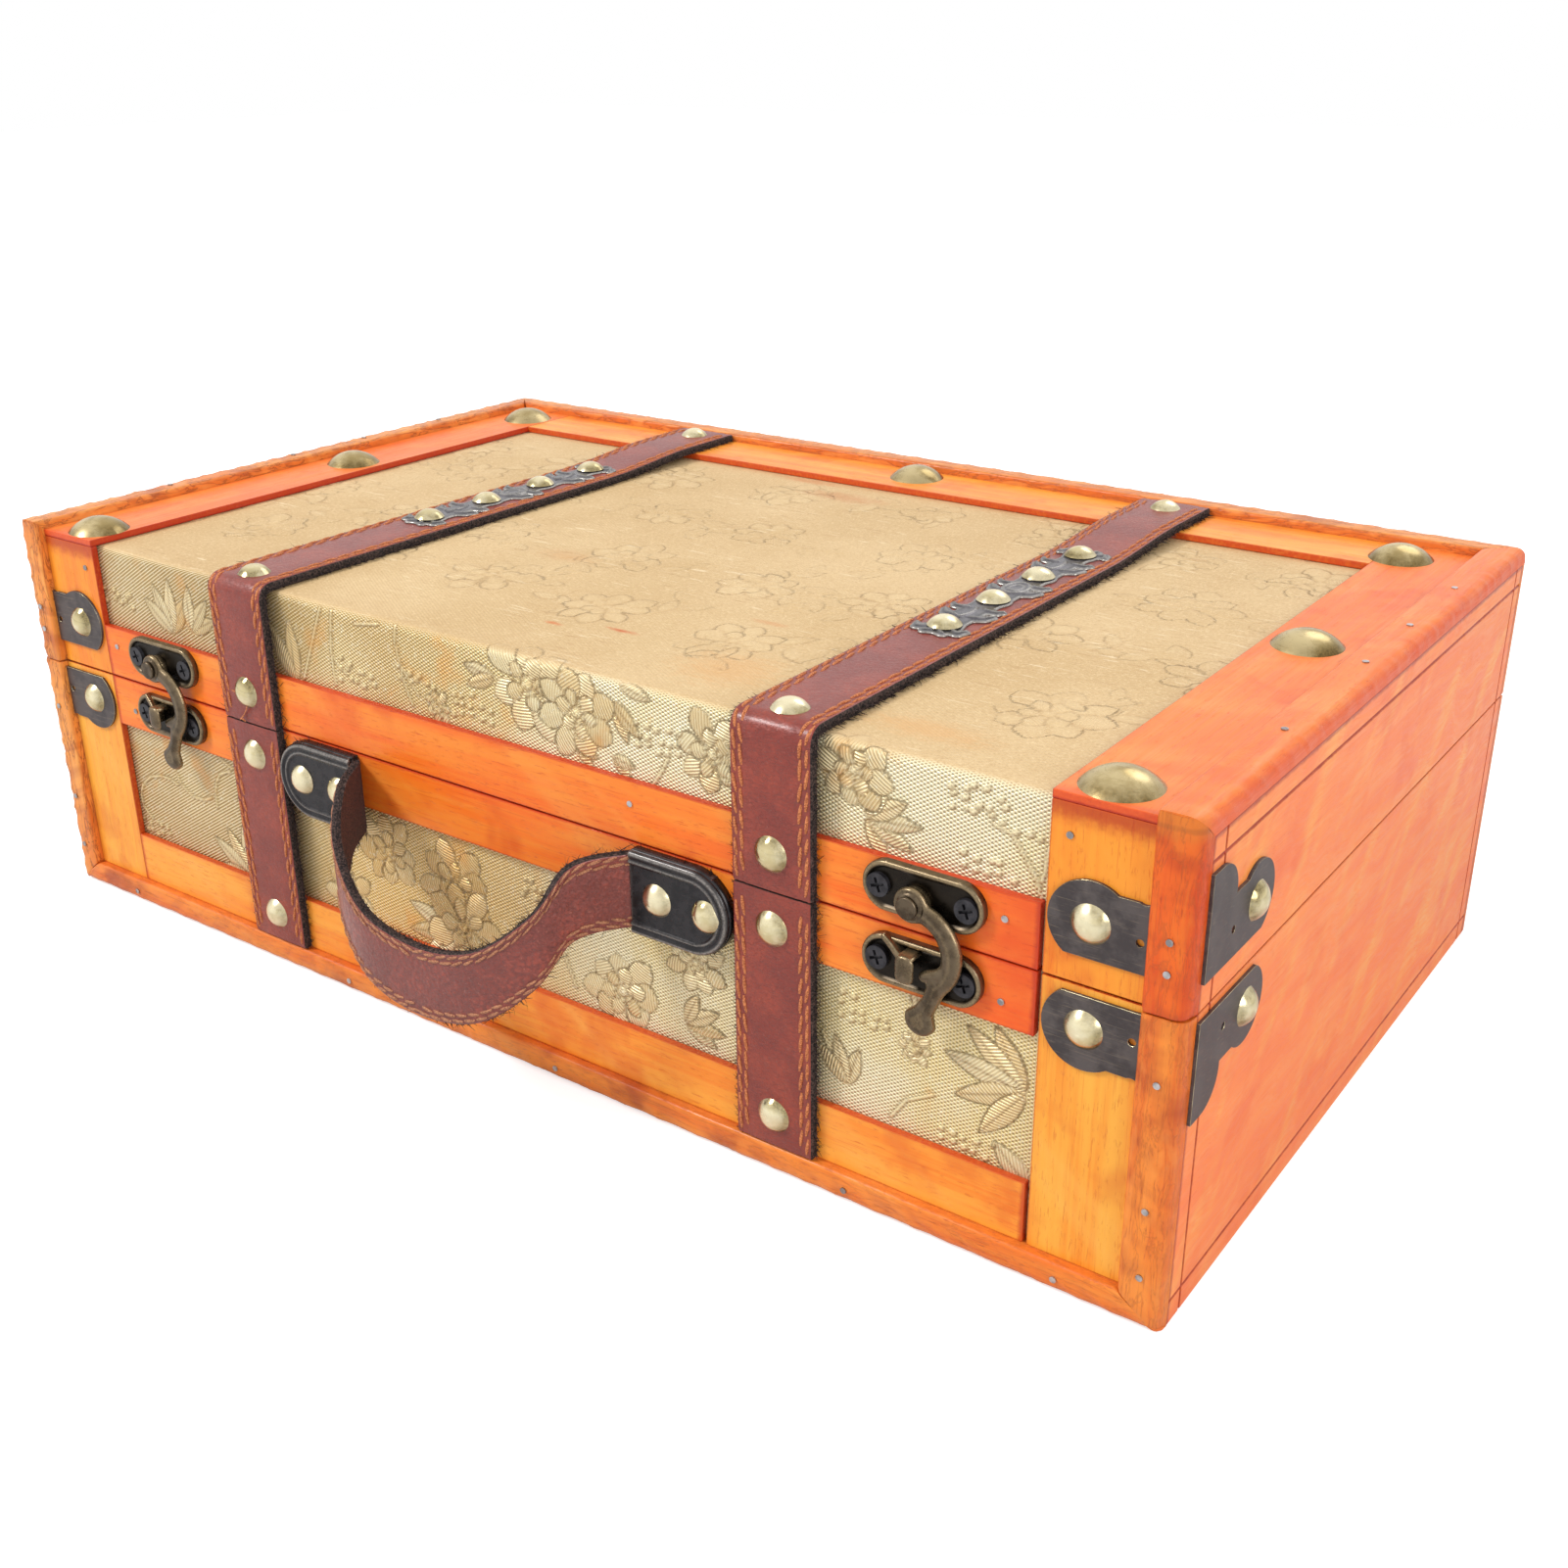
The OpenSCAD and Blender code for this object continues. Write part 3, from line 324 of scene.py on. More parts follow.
def metal(name, light, dark, spot, rough, brushed=0.0, metalness=1.0, bright=None, pitted=0.5, cloudy=0.35,
          rim_patina_and_shade=0.0):
    """Aged metal. Relief meshes carry rim, their rubbed edges and painted highlights on edges and ridges, and
    sunk, their dark hollows.

    patina darkens what leans away from a stud's crown: partly oxide, partly painted shade for the dark
    surroundings that the rim reflects. brushed is the share of fine scratches.
    """
    s = Shader(name)
    blotch = s.grain(cloudy, 4, 0.6)
    fine = s.grain(2.2, 3, 0.65)
    pits = s.ramp(s.grain(1.4, 5, 0.7), 0.6, 0.72)
    color = s.layers(s.mix(s.ramp(blotch, 0.38, 0.62), dark, light), (pits * pitted, spot))
    height = fine * (0.3 * pitted) + pits * (-0.5 * pitted)
    if brushed:
        lines = s.noise(s.stretch((0.12, 0.35, 3.0)), 3, 0.7)
        color = s.mix(s.ramp(lines, 0.56, 0.7, 0.0, brushed), color, spot)
        height = height + lines * 0.5
    # Darker where a surface leans away from a stud's crown: oxide, and painted shade for the dark
    # surroundings that the rim reflects.
    if rim_patina_and_shade:
        x, y, z = (abs(c) for c in s.facing())
        crown = s.math("MAXIMUM", s.math("MAXIMUM", x, y), z)
        oxide_and_shade_mask = s.ramp(crown, 0.7, 0.95, rim_patina_and_shade, 0.0) * s.ramp(blotch, 0.3, 0.6, 1.0, 0.45)
        color = s.mix(oxide_and_shade_mask, color, s.mix(s.ramp(fine, 0.4, 0.6), spot, (74, 58, 30)))
    # Relief meshes: dark hollows, and rubbed edges with painted highlights.
    if bright is not None:
        color = s.layers(color, (s.attribute("sunk"), spot),
                         (s.attribute("rim") * s.ramp(fine, 0.32, 0.6, 0.35, 1.0), bright))
    return s.finish(color, s.ramp(blotch, 0.3, 0.7, rough - 0.06, rough + 0.08), Metallic=metalness,
                    Normal=s.bump(height, 0.05, 0.5))


# Faded and stained patches of the top cloth: centre x and y, half lengths, colour and strength
PATCHES = (((2.3, -83.9), (4.5, 1.3), (214, 122, 64), 0.85), ((20.3, -78.8), (7, 1.5), (206, 110, 58), 0.95),
           ((-36, -37), (14, 7), (212, 160, 104), 0.5), ((60, -86), (20, 16), (222, 166, 102), 0.5),
           ((48, -53), (8, 2), (214, 154, 100), 0.6), ((-7, 62), (22, 7), (204, 136, 86), 0.5),
           ((-28, 73), (18, 3), (208, 134, 84), 0.5), ((118, -92), (22, 8), (226, 170, 106), 0.5))
# How far apart the cloth's threads are sideways and upwards, and the fine ribs of its motifs
THREADS_X, THREADS_UP, RIBS = 1.65, 1.0, 0.8


def brocade(name):
    """Gold cloth. The mesh carries the drawn pattern: motif, line, hatch, relief, tint and top."""
    s = Shader(name)
    motif, line, hatch, relief, tint, top = (s.attribute(n) for n in
                                             ("motif", "line", "hatch", "relief", "tint", "top"))
    x, y, z = s.axes(s.place)
    sideways = x * (2 * math.pi / THREADS_X)
    upward = (z + y) * (2 * math.pi / THREADS_UP)
    rising = s.math("SINE", sideways - upward)
    lattice = (s.math("SINE", sideways + upward) + rising) * 0.6
    twill = s.between(s.ramp(x, -110.0, -45.0, 1.0, 0.0), lattice, rising)
    ribs = s.math("SINE", hatch * (2 * math.pi / RIBS))
    weave = s.between(motif, twill, ribs)
    blotch = s.grain(0.022)
    fine = s.grain(1.5, 3, 0.7)
    cloudy = s.ramp(blotch, 0.4, 0.64)
    ground = s.mix(s.ramp(x, -60.0, 60.0, 1.0, 0.0), s.mix(cloudy, (246, 222, 156), (254, 240, 198)),
                   s.mix(cloudy, (216, 180, 112), (238, 210, 148)))
    # Painted shade and warm reflected light behind the handle: a golden patch on the base's cloth.
    handle_shade_and_glow = s.ramp(abs(x + 22.0), 20.0, 60.0, 0.75, 0.0) * s.ramp(z, seam - 2, seam, 1.0, 0.0)
    # Painted glints: scattered near-white specks on the gold.
    painted_glint = s.ramp(s.grain(1.1, 4, 0.8), 0.56, 0.64)
    color = s.layers(
        ground,
        (handle_shade_and_glow, (246, 198, 108)),
        (motif * 0.85, s.mix(tint, (252, 236, 188), (224, 176, 92))),
        (s.ramp(weave, -1.0, 0.2, 0.72, 0.0) * s.ramp(motif, 0.3, 0.8, 1.0, 0.0), (126, 100, 48)),
        (s.ramp(ribs, -1.0, -0.2, 0.42, 0.0) * s.ramp(motif, 0.5, 0.95), (150, 112, 58)),
        # Near-white on the thread and rib ridges: painted highlights.
        (s.ramp(weave, 0.35, 1.0, 0.0, 0.62) * s.ramp(motif, 0.0, 1.0, 1.0, 0.35), (255, 250, 224)),
        (painted_glint * 0.5, (255, 250, 226)),
        (line * 0.72, (138, 98, 46)),
        (s.ramp(s.grain(0.06), 0.6, 0.74) * 0.45, (232, 160, 66)))
    faint = s.ramp(s.grain(0.035, 2), 0.42, 0.6)
    dash = s.noise(s.stretch((0.11, 0.9, 0.5)), distort=0.5)
    patch = s.ramp(s.grain(0.03, 2), 0.45, 0.6)
    tan = s.layers(
        s.mix(s.ramp(blotch, 0.3, 0.7), (212, 178, 126), (224, 192, 142)),
        (s.ramp(fine, 0.54, 0.66, 0.0, 0.55), (244, 216, 168)),
        (s.ramp(fine, 0.46, 0.36, 0.0, 0.4), (190, 150, 98)),
        (line * faint * 0.32, (176, 134, 88)),
        # Lighter on the raised curls of the top: painted highlights.
        (s.ramp(relief, 0.08, 0.3, 0.0, 0.3) * faint, (240, 212, 162)),
        (s.ramp(dash, 0.6, 0.68) * (patch * 0.4), (180, 136, 88)),
        (s.ramp(dash, 0.38, 0.32) * (patch * 0.6), (250, 228, 188)))
    ragged = s.noise(s.stretch((0.3, 0.6, 0.3)))
    for (patch_x, patch_y), reach, shade, amount in PATCHES:
        off = s.join((x - patch_x) * (1 / reach[0]), (y - patch_y) * (1 / reach[1]))
        far = s.node("VectorMath", (off,), "Value", operation="LENGTH")
        tan = s.mix(s.ramp(far + ragged * 1.2, 0.7, 1.6, amount, 0.0), tan, shade)
    height = weave * 0.9 * (1.0 - top * 0.6) + fine * 0.4 + dash * top * 0.6 - line * 0.6
    return s.finish(s.mix(top, color, tan), top * 0.2 + 0.38, Normal=s.bump(height, 0.16, 0.8),
                    Metallic=s.ramp(top, 0.0, 1.0, 0.32, 0.1))


# Mesh helpers


def mesh_object(name, verts, faces, mats, indices=None, smooth=True):
    """A new object from arrays in millimetres."""
    me = bpy.data.meshes.new(name)
    me.from_pydata((np.asarray(verts) * MM).tolist(), [], [tuple(f) for f in faces])
    for m in mats:
        me.materials.append(m)
    if indices is not None:
        me.polygons.foreach_set("material_index", np.asarray(indices, dtype=np.int32))
    me.polygons.foreach_set("use_smooth", np.full(len(me.polygons), smooth))
    me.update()
    obj = bpy.data.objects.new(name, me)
    scene.collection.objects.link(obj)
    return obj


def carry(obj, **layers):
    """Stores a value for each vertex under each name, for the material to read."""
    for name, values in layers.items():
        layer = obj.data.attributes.new(name, "FLOAT", "POINT")
        layer.data.foreach_set("value", values.astype(np.float32))


def dress(piece, slot, body, *nodes):
    """Hides the CAD nodes that a piece replaces, and hangs it on the body it rides on. slot is not used."""
    if nodes:
        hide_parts(*nodes)
    if body:
        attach(piece, body)


class Mesh:
    """Collects pieces of one mesh."""

    def __init__(self):
        self.verts, self.faces, self.index = [], [], []

    def tube(self, rings, sides=0):
        """Skins a run of equal closed rings. sides is the material, or one for each side of the ring."""
        n, k, base = len(rings), len(rings[0]), len(self.verts)
        sides = [sides] * k if np.isscalar(sides) else sides
        self.verts.extend(tuple(p) for ring in rings for p in ring)
        for i in range(base, base + (n - 1) * k, k):
            for j in range(k):
                a, b = i + j, i + (j + 1) % k
                self.faces.append((a, b, b + k, a + k))
                self.index.append(sides[j])
        self.faces.append(tuple(range(base, base + k))[::-1])
        self.faces.append(tuple(range(base + (n - 1) * k, base + n * k)))
        self.index += [sides[-1]] * 2

    def object(self, name, mats):
        return mesh_object(name, self.verts, self.faces, mats, self.index)


def chain(x, y, pts):
    """Distance to a run of discs (x, y, r) joined by tapering bars."""
    best = np.full(x.shape, 1e9)
    for (ax, ay, ar), (bx, by, br) in zip(pts[:-1], pts[1:]):
        dx, dy = bx - ax, by - ay
        k = np.clip(((x - ax) * dx + (y - ay) * dy) / max(dx * dx + dy * dy, 1e-9), 0, 1)
        best = np.minimum(best, np.hypot(x - ax - k * dx, y - ay - k * dy) - ar - k * (br - ar))
    return best


def block(x, y, x0, y0, x1, y1, r=0.0):
    """Distance to a box with round corners."""
    qx = np.abs(x - (x0 + x1) / 2) - (x1 - x0) / 2 + r
    qy = np.abs(y - (y0 + y1) / 2) - (y1 - y0) / 2 + r
    return np.hypot(np.maximum(qx, 0), np.maximum(qy, 0)) + np.minimum(np.maximum(qx, qy), 0) - r


def blend_min(a, b, k):
    """The lower of two distances, with a fillet of about k between them."""
    h = np.clip(0.5 + 0.5 * (b - a) / k, 0, 1)
    return b * (1 - h) + a * h - k * h * (1 - h)


def dome_edge(d, r):
    """Share of a quarter round at d inside an edge of radius r."""
    return np.sqrt(np.clip(1 - (1 - np.clip(d / r, 0, 1)) ** 2, 0, 1))


class Relief:
    """Plates with a sculpted face. Each is drawn as a distance field and stands on a plane."""

    def __init__(self):
        self.verts, self.faces, self.rim, self.sunk, self.count = [], [], [], [], 0

    def add(self, shape, low, high, step, place, bottom, top, rim=None, sunk=None):
        """Adds one plate.

        shape(x, y) is below 0 inside, top(d, x, y) is the height at d inside, and place(x, y, z) puts it in
        the scene. rim says where it is rubbed and where highlights are painted, and sunk where it is dark.
        """
        xs, ys = (np.arange(a - step, b + 2 * step, step) for a, b in zip(low, high))
        gx, gy = np.meshgrid(xs, ys)
        inside = shape(gx, gy) < 0
        cell = inside[:-1, :-1] | inside[1:, :-1] | inside[:-1, 1:] | inside[1:, 1:]
        e = 1e-3
        for _ in range(3):
            d = shape(gx, gy)
            nx, ny = (shape(gx + e, gy) - d) / e, (shape(gx, gy + e) - d) / e
            size = np.maximum(nx * nx + ny * ny, 0.2)
            out = ~inside
            gx[out] -= (d * nx / size)[out]
            gy[out] -= (d * ny / size)[out]
        used = np.zeros(gx.shape, bool)
        for a in (0, 1):
            for b in (0, 1):
                used[a:gx.shape[0] - 1 + a, b:gx.shape[1] - 1 + b] |= cell
        x, y = gx[used], gy[used]
        d = np.maximum(-shape(x, y), 0) * inside[used]
        number = np.full(gx.shape, -1)
        number[used] = np.arange(used.sum())
        j, i = np.nonzero(cell)
        quads = np.stack([number[j, i], number[j, i + 1], number[j + 1, i + 1], number[j + 1, i]], 1)
        n = len(x)
        edges = np.concatenate([quads[:, [k, (k + 1) % 4]] for k in range(4)])
        key = np.sort(edges, 1) @ [n, 1]
        _, first, times = np.unique(key, return_index=True, return_counts=True)
        rims = edges[first[times == 1]]
        wall = np.stack([rims[:, 1], rims[:, 0], rims[:, 0] + n, rims[:, 1] + n], 1)
        z = top(d, x, y)
        base = self.count
        self.verts.append(np.stack(place(np.concatenate([x, x]), np.concatenate([y, y]),
                                         np.concatenate([z, np.full(n, bottom)])), 1))
        self.faces.append(np.concatenate([quads, quads[:, ::-1] + n, wall]) + base)
        edge = np.exp(-d / 0.3) if rim is None else rim(d, x, y)
        hollow = np.zeros(n) if sunk is None else sunk(d, x, y)
        self.rim.append(np.concatenate([edge, edge * 0.5]))
        self.sunk.append(np.concatenate([hollow, hollow]))
        self.count += 2 * n

    def object(self, name, mat):
        obj = mesh_object(name, np.concatenate(self.verts), np.concatenate(self.faces), [mat])
        carry(obj, rim=np.concatenate(self.rim), sunk=np.concatenate(self.sunk))
        return obj


def arc(cx, cy, r, a0, a1, n=5):
    """Points on an arc of n steps from the angle a0 to a1."""
    turns = (math.radians(a0 + (a1 - a0) * k / n) for k in range(n + 1))
    return [(cx + r * math.cos(a), cy + r * math.sin(a)) for a in turns]


def moulding(name, mat, section, start, end, place, carve, seed, scallop=7.5):
    """A hand-cut edge moulding: a section swept from start(p) to end(p), scalloped along its outer corner.

    section is a ring of (a, b, w): place in the section, and share of the cut there, towards its middle. The
    mesh carries cut, how deep the knife went.
    """
    dice = np.random.default_rng(seed)
    ring = np.array(section, float)
    lo, hi = np.array([start(p) for p in ring]), np.array([end(p) for p in ring])
    count = int((hi - lo).max() / (1)) + 2
    t = np.linspace(0, 1, count)
    run = (hi - lo).max() * t
    marks = [0.0]
    while marks[-1] < run[-1]:
        marks.append(marks[-1] + scallop * dice.uniform(0.7, 1.35))
    phase = np.interp(run, marks, np.arange(len(marks)))
    depth = np.interp(run, marks, dice.uniform(0.55, 1.0, len(marks)))
    cut = carve * (np.abs(np.cos(math.pi * phase)) ** 0.8) * depth
    cut += carve * 0.12 * dice.standard_normal(count)
    cut = np.clip(cut, 0, carve * 1.1)
    middle = ring[:, :2].mean(0)
    rings = []
    for k in range(count):
        end_in = 0.22 if k in (0, count - 1) else 0.0
        pull = middle - ring[:, :2]
        pull /= np.linalg.norm(pull, axis=1)[:, None]
        at = ring[:, :2] + pull * (ring[:, 2] * cut[k] + end_in * (ring[:, 2] > 0))[:, None]
        rings.append([place(a, b, c) for (a, b), c in zip(at, lo + (hi - lo) * t[k])])
    mesh = Mesh()
    mesh.tube(rings)
    corners = np.array(mesh.verts)
    volume = sum(np.dot(corners[f[0]], np.cross(corners[f[k]], corners[f[k + 1]]))
                 for f in mesh.faces for k in range(1, len(f) - 1))
    if volume < 0:
        mesh.faces = [f[::-1] for f in mesh.faces]
    obj = mesh.object(name, [mat])
    obj.data.set_sharp_from_angle(angle=math.radians(42))
    carry(obj, cut=np.outer(cut / carve, ring[:, 2] > 0.1).ravel())
    return obj


def along(line, step):
    """Points, tangents and places along a polyline, at an even step."""
    line = np.asarray(line, float)
    seg = np.linalg.norm(np.diff(line, axis=0), axis=1)
    run = np.concatenate([[0], np.cumsum(seg)])
    count = max(2, int(round(run[-1] / step)) + 1)
    s = np.linspace(0, run[-1], count)
    pts = np.stack([np.interp(s, run, line[:, i]) for i in range(3)], 1)
    tan = np.gradient(pts, axis=0)
    tan /= np.linalg.norm(tan, axis=1)[:, None]
    return pts, tan, s


def strap(name, line, side, width, thick, mats, rows, pitch, fuzz, joined=False):
    """Stitched leather strap along a line on its outer face. side is the direction across it.

    mats are leather, felt, thread and suede. rows are the two stitch rows' distances from the edges, pitch is
    a stitch's length and fuzz the fibres on each millimetre. joined is for a strap that starts at another's
    start.
    """
    pts, tan, run = along(line, 1.2)
    total = run[-1]
    side = np.asarray(side, float)
    out = np.cross(side, tan)
    out /= np.linalg.norm(out, axis=1)[:, None]
    half = width / 2
    first, last = rows
    mid = (first + last) / 2
    shape = [(-half + 0.15, -thick), (-half, -thick * 0.5), (-half, -0.55), (-half + 0.25, -0.16),
             (-half + 0.7, -0.03), (-half + first, -0.2), (-half + mid, -0.08), (-half + last, -0.2),
             (-half + last + 0.9, -0.03), (-half * 0.3, 0.0)]
    shape += [(-a, b) for a, b in reversed(shape)]
    leather_face, edge_felt, stitches, back = range(4)
    mesh = Mesh()
    rings = []
    for i, (p, o) in enumerate(zip(pts, out)):
        cut_end = i == len(pts) - 1 or (i == 0 and not joined)
        inset = 0.5 if cut_end else 0.0
        rings.append([p + side * a * (1 - inset * 0.02) + o * (b - inset * 0.3 * (b > -1)) for a, b in shape])
    mesh.tube(rings, [edge_felt] * 3 + [leather_face] * 13 + [edge_felt] * 3 + [back])

    def at(place):
        """The line's point, outward direction and tangent at a place along it."""
        return [np.array([np.interp(place, run, axis) for axis in values.T]) for values in (pts, out, tan)]

    def loop(centre, outward, a, b, turns):
        return [centre + side * a * math.cos(q) + outward * b * math.sin(q) for q in turns]

    for edge in (-1, 1):
        for r, row in enumerate(rows):
            place = (0.0 if joined else 1.2) + (0.35 * pitch if r else 0)
            while place + pitch * 0.9 < total - 0.8:
                length = pitch * (0.9 + 0.04 * rng.standard_normal())
                lean = 0.3 * edge + 0.1 * rng.standard_normal()
                rings = []
                for t in np.arange(5) / 4:
                    p, o, _ = at(place + length * t)
                    bulge = math.sin(math.pi * (0.12 + 0.76 * t))
                    c = p + side * (edge * (half - row) + lean * (t - 0.5) * 2) + o * (-0.3 + 0.26 * bulge)
                    thin = 0.4 + 0.6 * bulge
                    rings.append(loop(c, o, 0.48 * thin, 0.38 * thin, np.arange(6) * math.pi / 3))
                mesh.tube(rings, stitches)
                place += pitch
    # Loose dark fibres along both cut edges
    for edge in (-1, 1):
        for _ in range(int(total * fuzz)):
            p, o, d = at(rng.uniform(0, total))
            root = p + side * edge * (half - 0.1) - o * rng.uniform(0.8, thick)
            go = side * edge * rng.uniform(0.3, 1.0) + d * rng.uniform(-1, 1) - o * rng.uniform(-0.2, 0.4)
            go /= np.linalg.norm(go)
            length = rng.uniform(0.7, 1.7) * (1.9 if rng.uniform() < 0.25 else 1.0)
            curl = d * rng.uniform(-0.5, 0.5)
            rings = []
            for t in (0, 0.5, 1):
                c = root + go * length * t + curl * length * t * t
                c = c + o * max(0, np.dot(p - c, o) - thick + 0.1)
                w = 0.16 * (1 - 0.75 * t)
                rings.append(loop(c, o, w, w, (0, 2.09, 4.19)))
            mesh.tube(rings, edge_felt)
    obj = mesh.object(name, mats)
    obj.data.set_sharp_from_angle(angle=math.radians(72))
    return obj


def give(obj, slot, mat):
    """Puts a material in one of a CAD object's slots, and leaves its mesh's own."""
    if len(obj.material_slots) <= slot:
        obj.data.materials.append(mat)
    obj.material_slots[slot].link = "OBJECT"
    obj.material_slots[slot].material = mat


def soften(node, width, segments=2, bright=None):
    """Rounds a CAD node's sharp edges without touching its mesh. bright is a material for those edges."""
    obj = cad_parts[node]
    weld = obj.modifiers.new("weld", "WELD")
    weld.merge_threshold = 0.00001
    flat = obj.modifiers.new("flat", "DECIMATE")
    flat.decimate_type = "DISSOLVE"
    flat.angle_limit = math.radians(0.5)
    bevel = obj.modifiers.new("bevel", "BEVEL")
    bevel.width = width * MM
    bevel.segments = segments
    bevel.limit_method = "ANGLE"
    bevel.angle_limit = math.radians(30)
    if bright is not None:
        give(obj, 1, bright)
        bevel.material = 1


def paint(mat, *nodes):
    for node in nodes:
        give(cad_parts[node], 0, mat)


# Brocade pattern


class Pattern:
    """Draws flowers, leaves, stems and berries over points (u, v) in millimetres."""

    def __init__(self, u, v):
        self.u, self.v = u, v
        self.motif, self.line, self.hatch, self.height, self.tint = np.zeros((5, len(u)))

    def window(self, cu, cv, r):
        return (np.abs(self.u - cu) < r) & (np.abs(self.v - cv) < r)

    def blade(self, cu, cv, angle, length, wide, hatch, raise_by, point, tint, rib=False):
        """A petal or leaf from (cu, cv) along angle. hatch turns its fine ribs, tint yellows it."""
        near = self.window(cu, cv, length + 1)
        if not near.any():
            return
        du, dv = self.u[near] - cu, self.v[near] - cv
        c, s = math.cos(angle), math.sin(angle)
        t, w = (du * c + dv * s) / length, -du * s + dv * c
        d = np.abs(w) - wide * np.sin(math.pi * np.clip(t, 0, 1) ** point) ** 0.8
        d = np.where((t < 0) | (t > 1), np.maximum(d, np.maximum(-t, t - 1) * length), d)
        a = np.clip(0.5 - d / 0.5, 0, 1)
        ring = np.exp(-(d / 0.24) ** 2)
        crown = raise_by * (0.25 + 0.75 * np.clip(-d / wide, 0, 1))
        comb = t * length * math.cos(hatch) + w * math.sin(hatch)
        for field, value, amount in ((self.motif, 1.0, a), (self.line, ring, a + ring * (1 - a)),
                                     (self.hatch, comb, a > 0.5), (self.tint, tint, a),
                                     (self.height, crown, a)):
            field[near] = field[near] * (1 - amount) + value * amount
        if rib:
            mid = np.exp(-(w / 0.25) ** 2) * a * (t < 0.92)
            self.line[near] = np.maximum(self.line[near], mid * 0.9)

    def berry(self, cu, cv, r):
        near = self.window(cu, cv, r + 1)
        if not near.any():
            return
        d = np.hypot(self.u[near] - cu, self.v[near] - cv)
        a = np.clip(0.5 - (d - r) / 0.5, 0, 1)
        # The outline is dark on one side only: painted shade of a raised berry.
        shade = np.clip(0.5 + 0.9 * np.cos(np.arctan2(self.v[near] - cv, self.u[near] - cu) + 0.9), 0, 1)
        ring = np.exp(-((d - r) / 0.36) ** 2) * shade
        self.motif[near] = self.motif[near] * (1 - a) + a * 0.5
        self.line[near] = np.maximum(self.line[near] * (1 - a), ring)
        self.height[near] = self.height[near] * (1 - a) + 0.34 * a * (1 - (d / r) ** 2 * 0.7)

    def stem(self, pts, wide=0.35):
        for a, b in zip(pts[:-1], pts[1:]):
            near = self.window((a[0] + b[0]) / 2, (a[1] + b[1]) / 2, math.dist(a, b) / 2 + 1.5)
            if not near.any():
                continue
            p = np.stack([self.u[near] - a[0], self.v[near] - a[1]], 1)
            d = np.array([b[0] - a[0], b[1] - a[1]])
            k = np.clip(p @ d / max(d @ d, 1e-9), 0, 1)[:, None]
            dist = np.linalg.norm(p - k * d, axis=1)
            free = 1 - self.motif[near]
            core = np.exp(-(dist / wide) ** 2) * free
            edge = np.exp(-((dist - wide - 0.15) / 0.3) ** 2) * free
            self.line[near] = np.maximum(self.line[near], edge * 0.75)
            self.height[near] = np.maximum(self.height[near], 0.4 * core)
            self.motif[near] = np.maximum(self.motif[near], 0.85 * core)

    def flower(self, cu, cv, size, turn, dice, rich=0.05):
        """Round-ended petals in two rings, round a seeded middle. rich makes them more golden."""
        petals = int(dice.integers(7, 9))
        for ring, (scale, wide) in enumerate(((1.0, 0.28), (0.56, 0.17))):
            for i in range(petals - 2 * ring):
                a = turn + ring * 0.45 + 2 * math.pi * i / (petals - 2 * ring) + dice.uniform(-0.12, 0.12)
                long = size * scale * dice.uniform(0.82, 1.14)
                self.blade(cu, cv, a, long, size * wide * dice.uniform(0.85, 1.15),
                           dice.choice([0.0, 0.35, -0.5, 1.2]), 0.4 + 0.14 * ring, 1.7,
                           min(1.0, dice.uniform(0.0, 0.4) + rich))
        self.berry(cu, cv, size * 0.12)
        for i in range(8):
            a = turn + 2 * math.pi * i / 8
            self.berry(cu + size * 0.2 * math.cos(a), cv + size * 0.2 * math.sin(a), 0.6)

    def spray(self, cu, cv, angle, size, dice):
        """A curved stem with a few long leaves and a cluster of berries at its end."""
        pts, a, p = [(cu, cv)], angle, np.array([cu, cv])
        curl = dice.choice([-1, 1]) * dice.uniform(0.04, 0.09)
        for i in range(18):
            a += curl * 2.2
            p = p + size / 13 * np.array([math.cos(a), math.sin(a)])
            pts.append(tuple(p))
        self.stem(pts, 0.45)
        for i, side in ((5, 1), (9, -1), (13, 1)):
            (u, v), (past_u, past_v) = pts[i], pts[i - 1]
            way = math.atan2(v - past_v, u - past_u)
            self.blade(u, v, way + side * dice.uniform(0.5, 0.9), size * dice.uniform(0.42, 0.62),
                       size * dice.uniform(0.1, 0.14), side, 0.38, 0.85, dice.uniform(0.0, 0.7), rib=True)
        end = pts[-1]
        for i in range(int(dice.integers(4, 9))):
            b = dice.uniform(0, 2 * math.pi)
            r = dice.uniform(0.8, 5.0)
            self.berry(end[0] + r * math.cos(b), end[1] + 0.7 * r * math.sin(b), dice.uniform(0.7, 0.95))


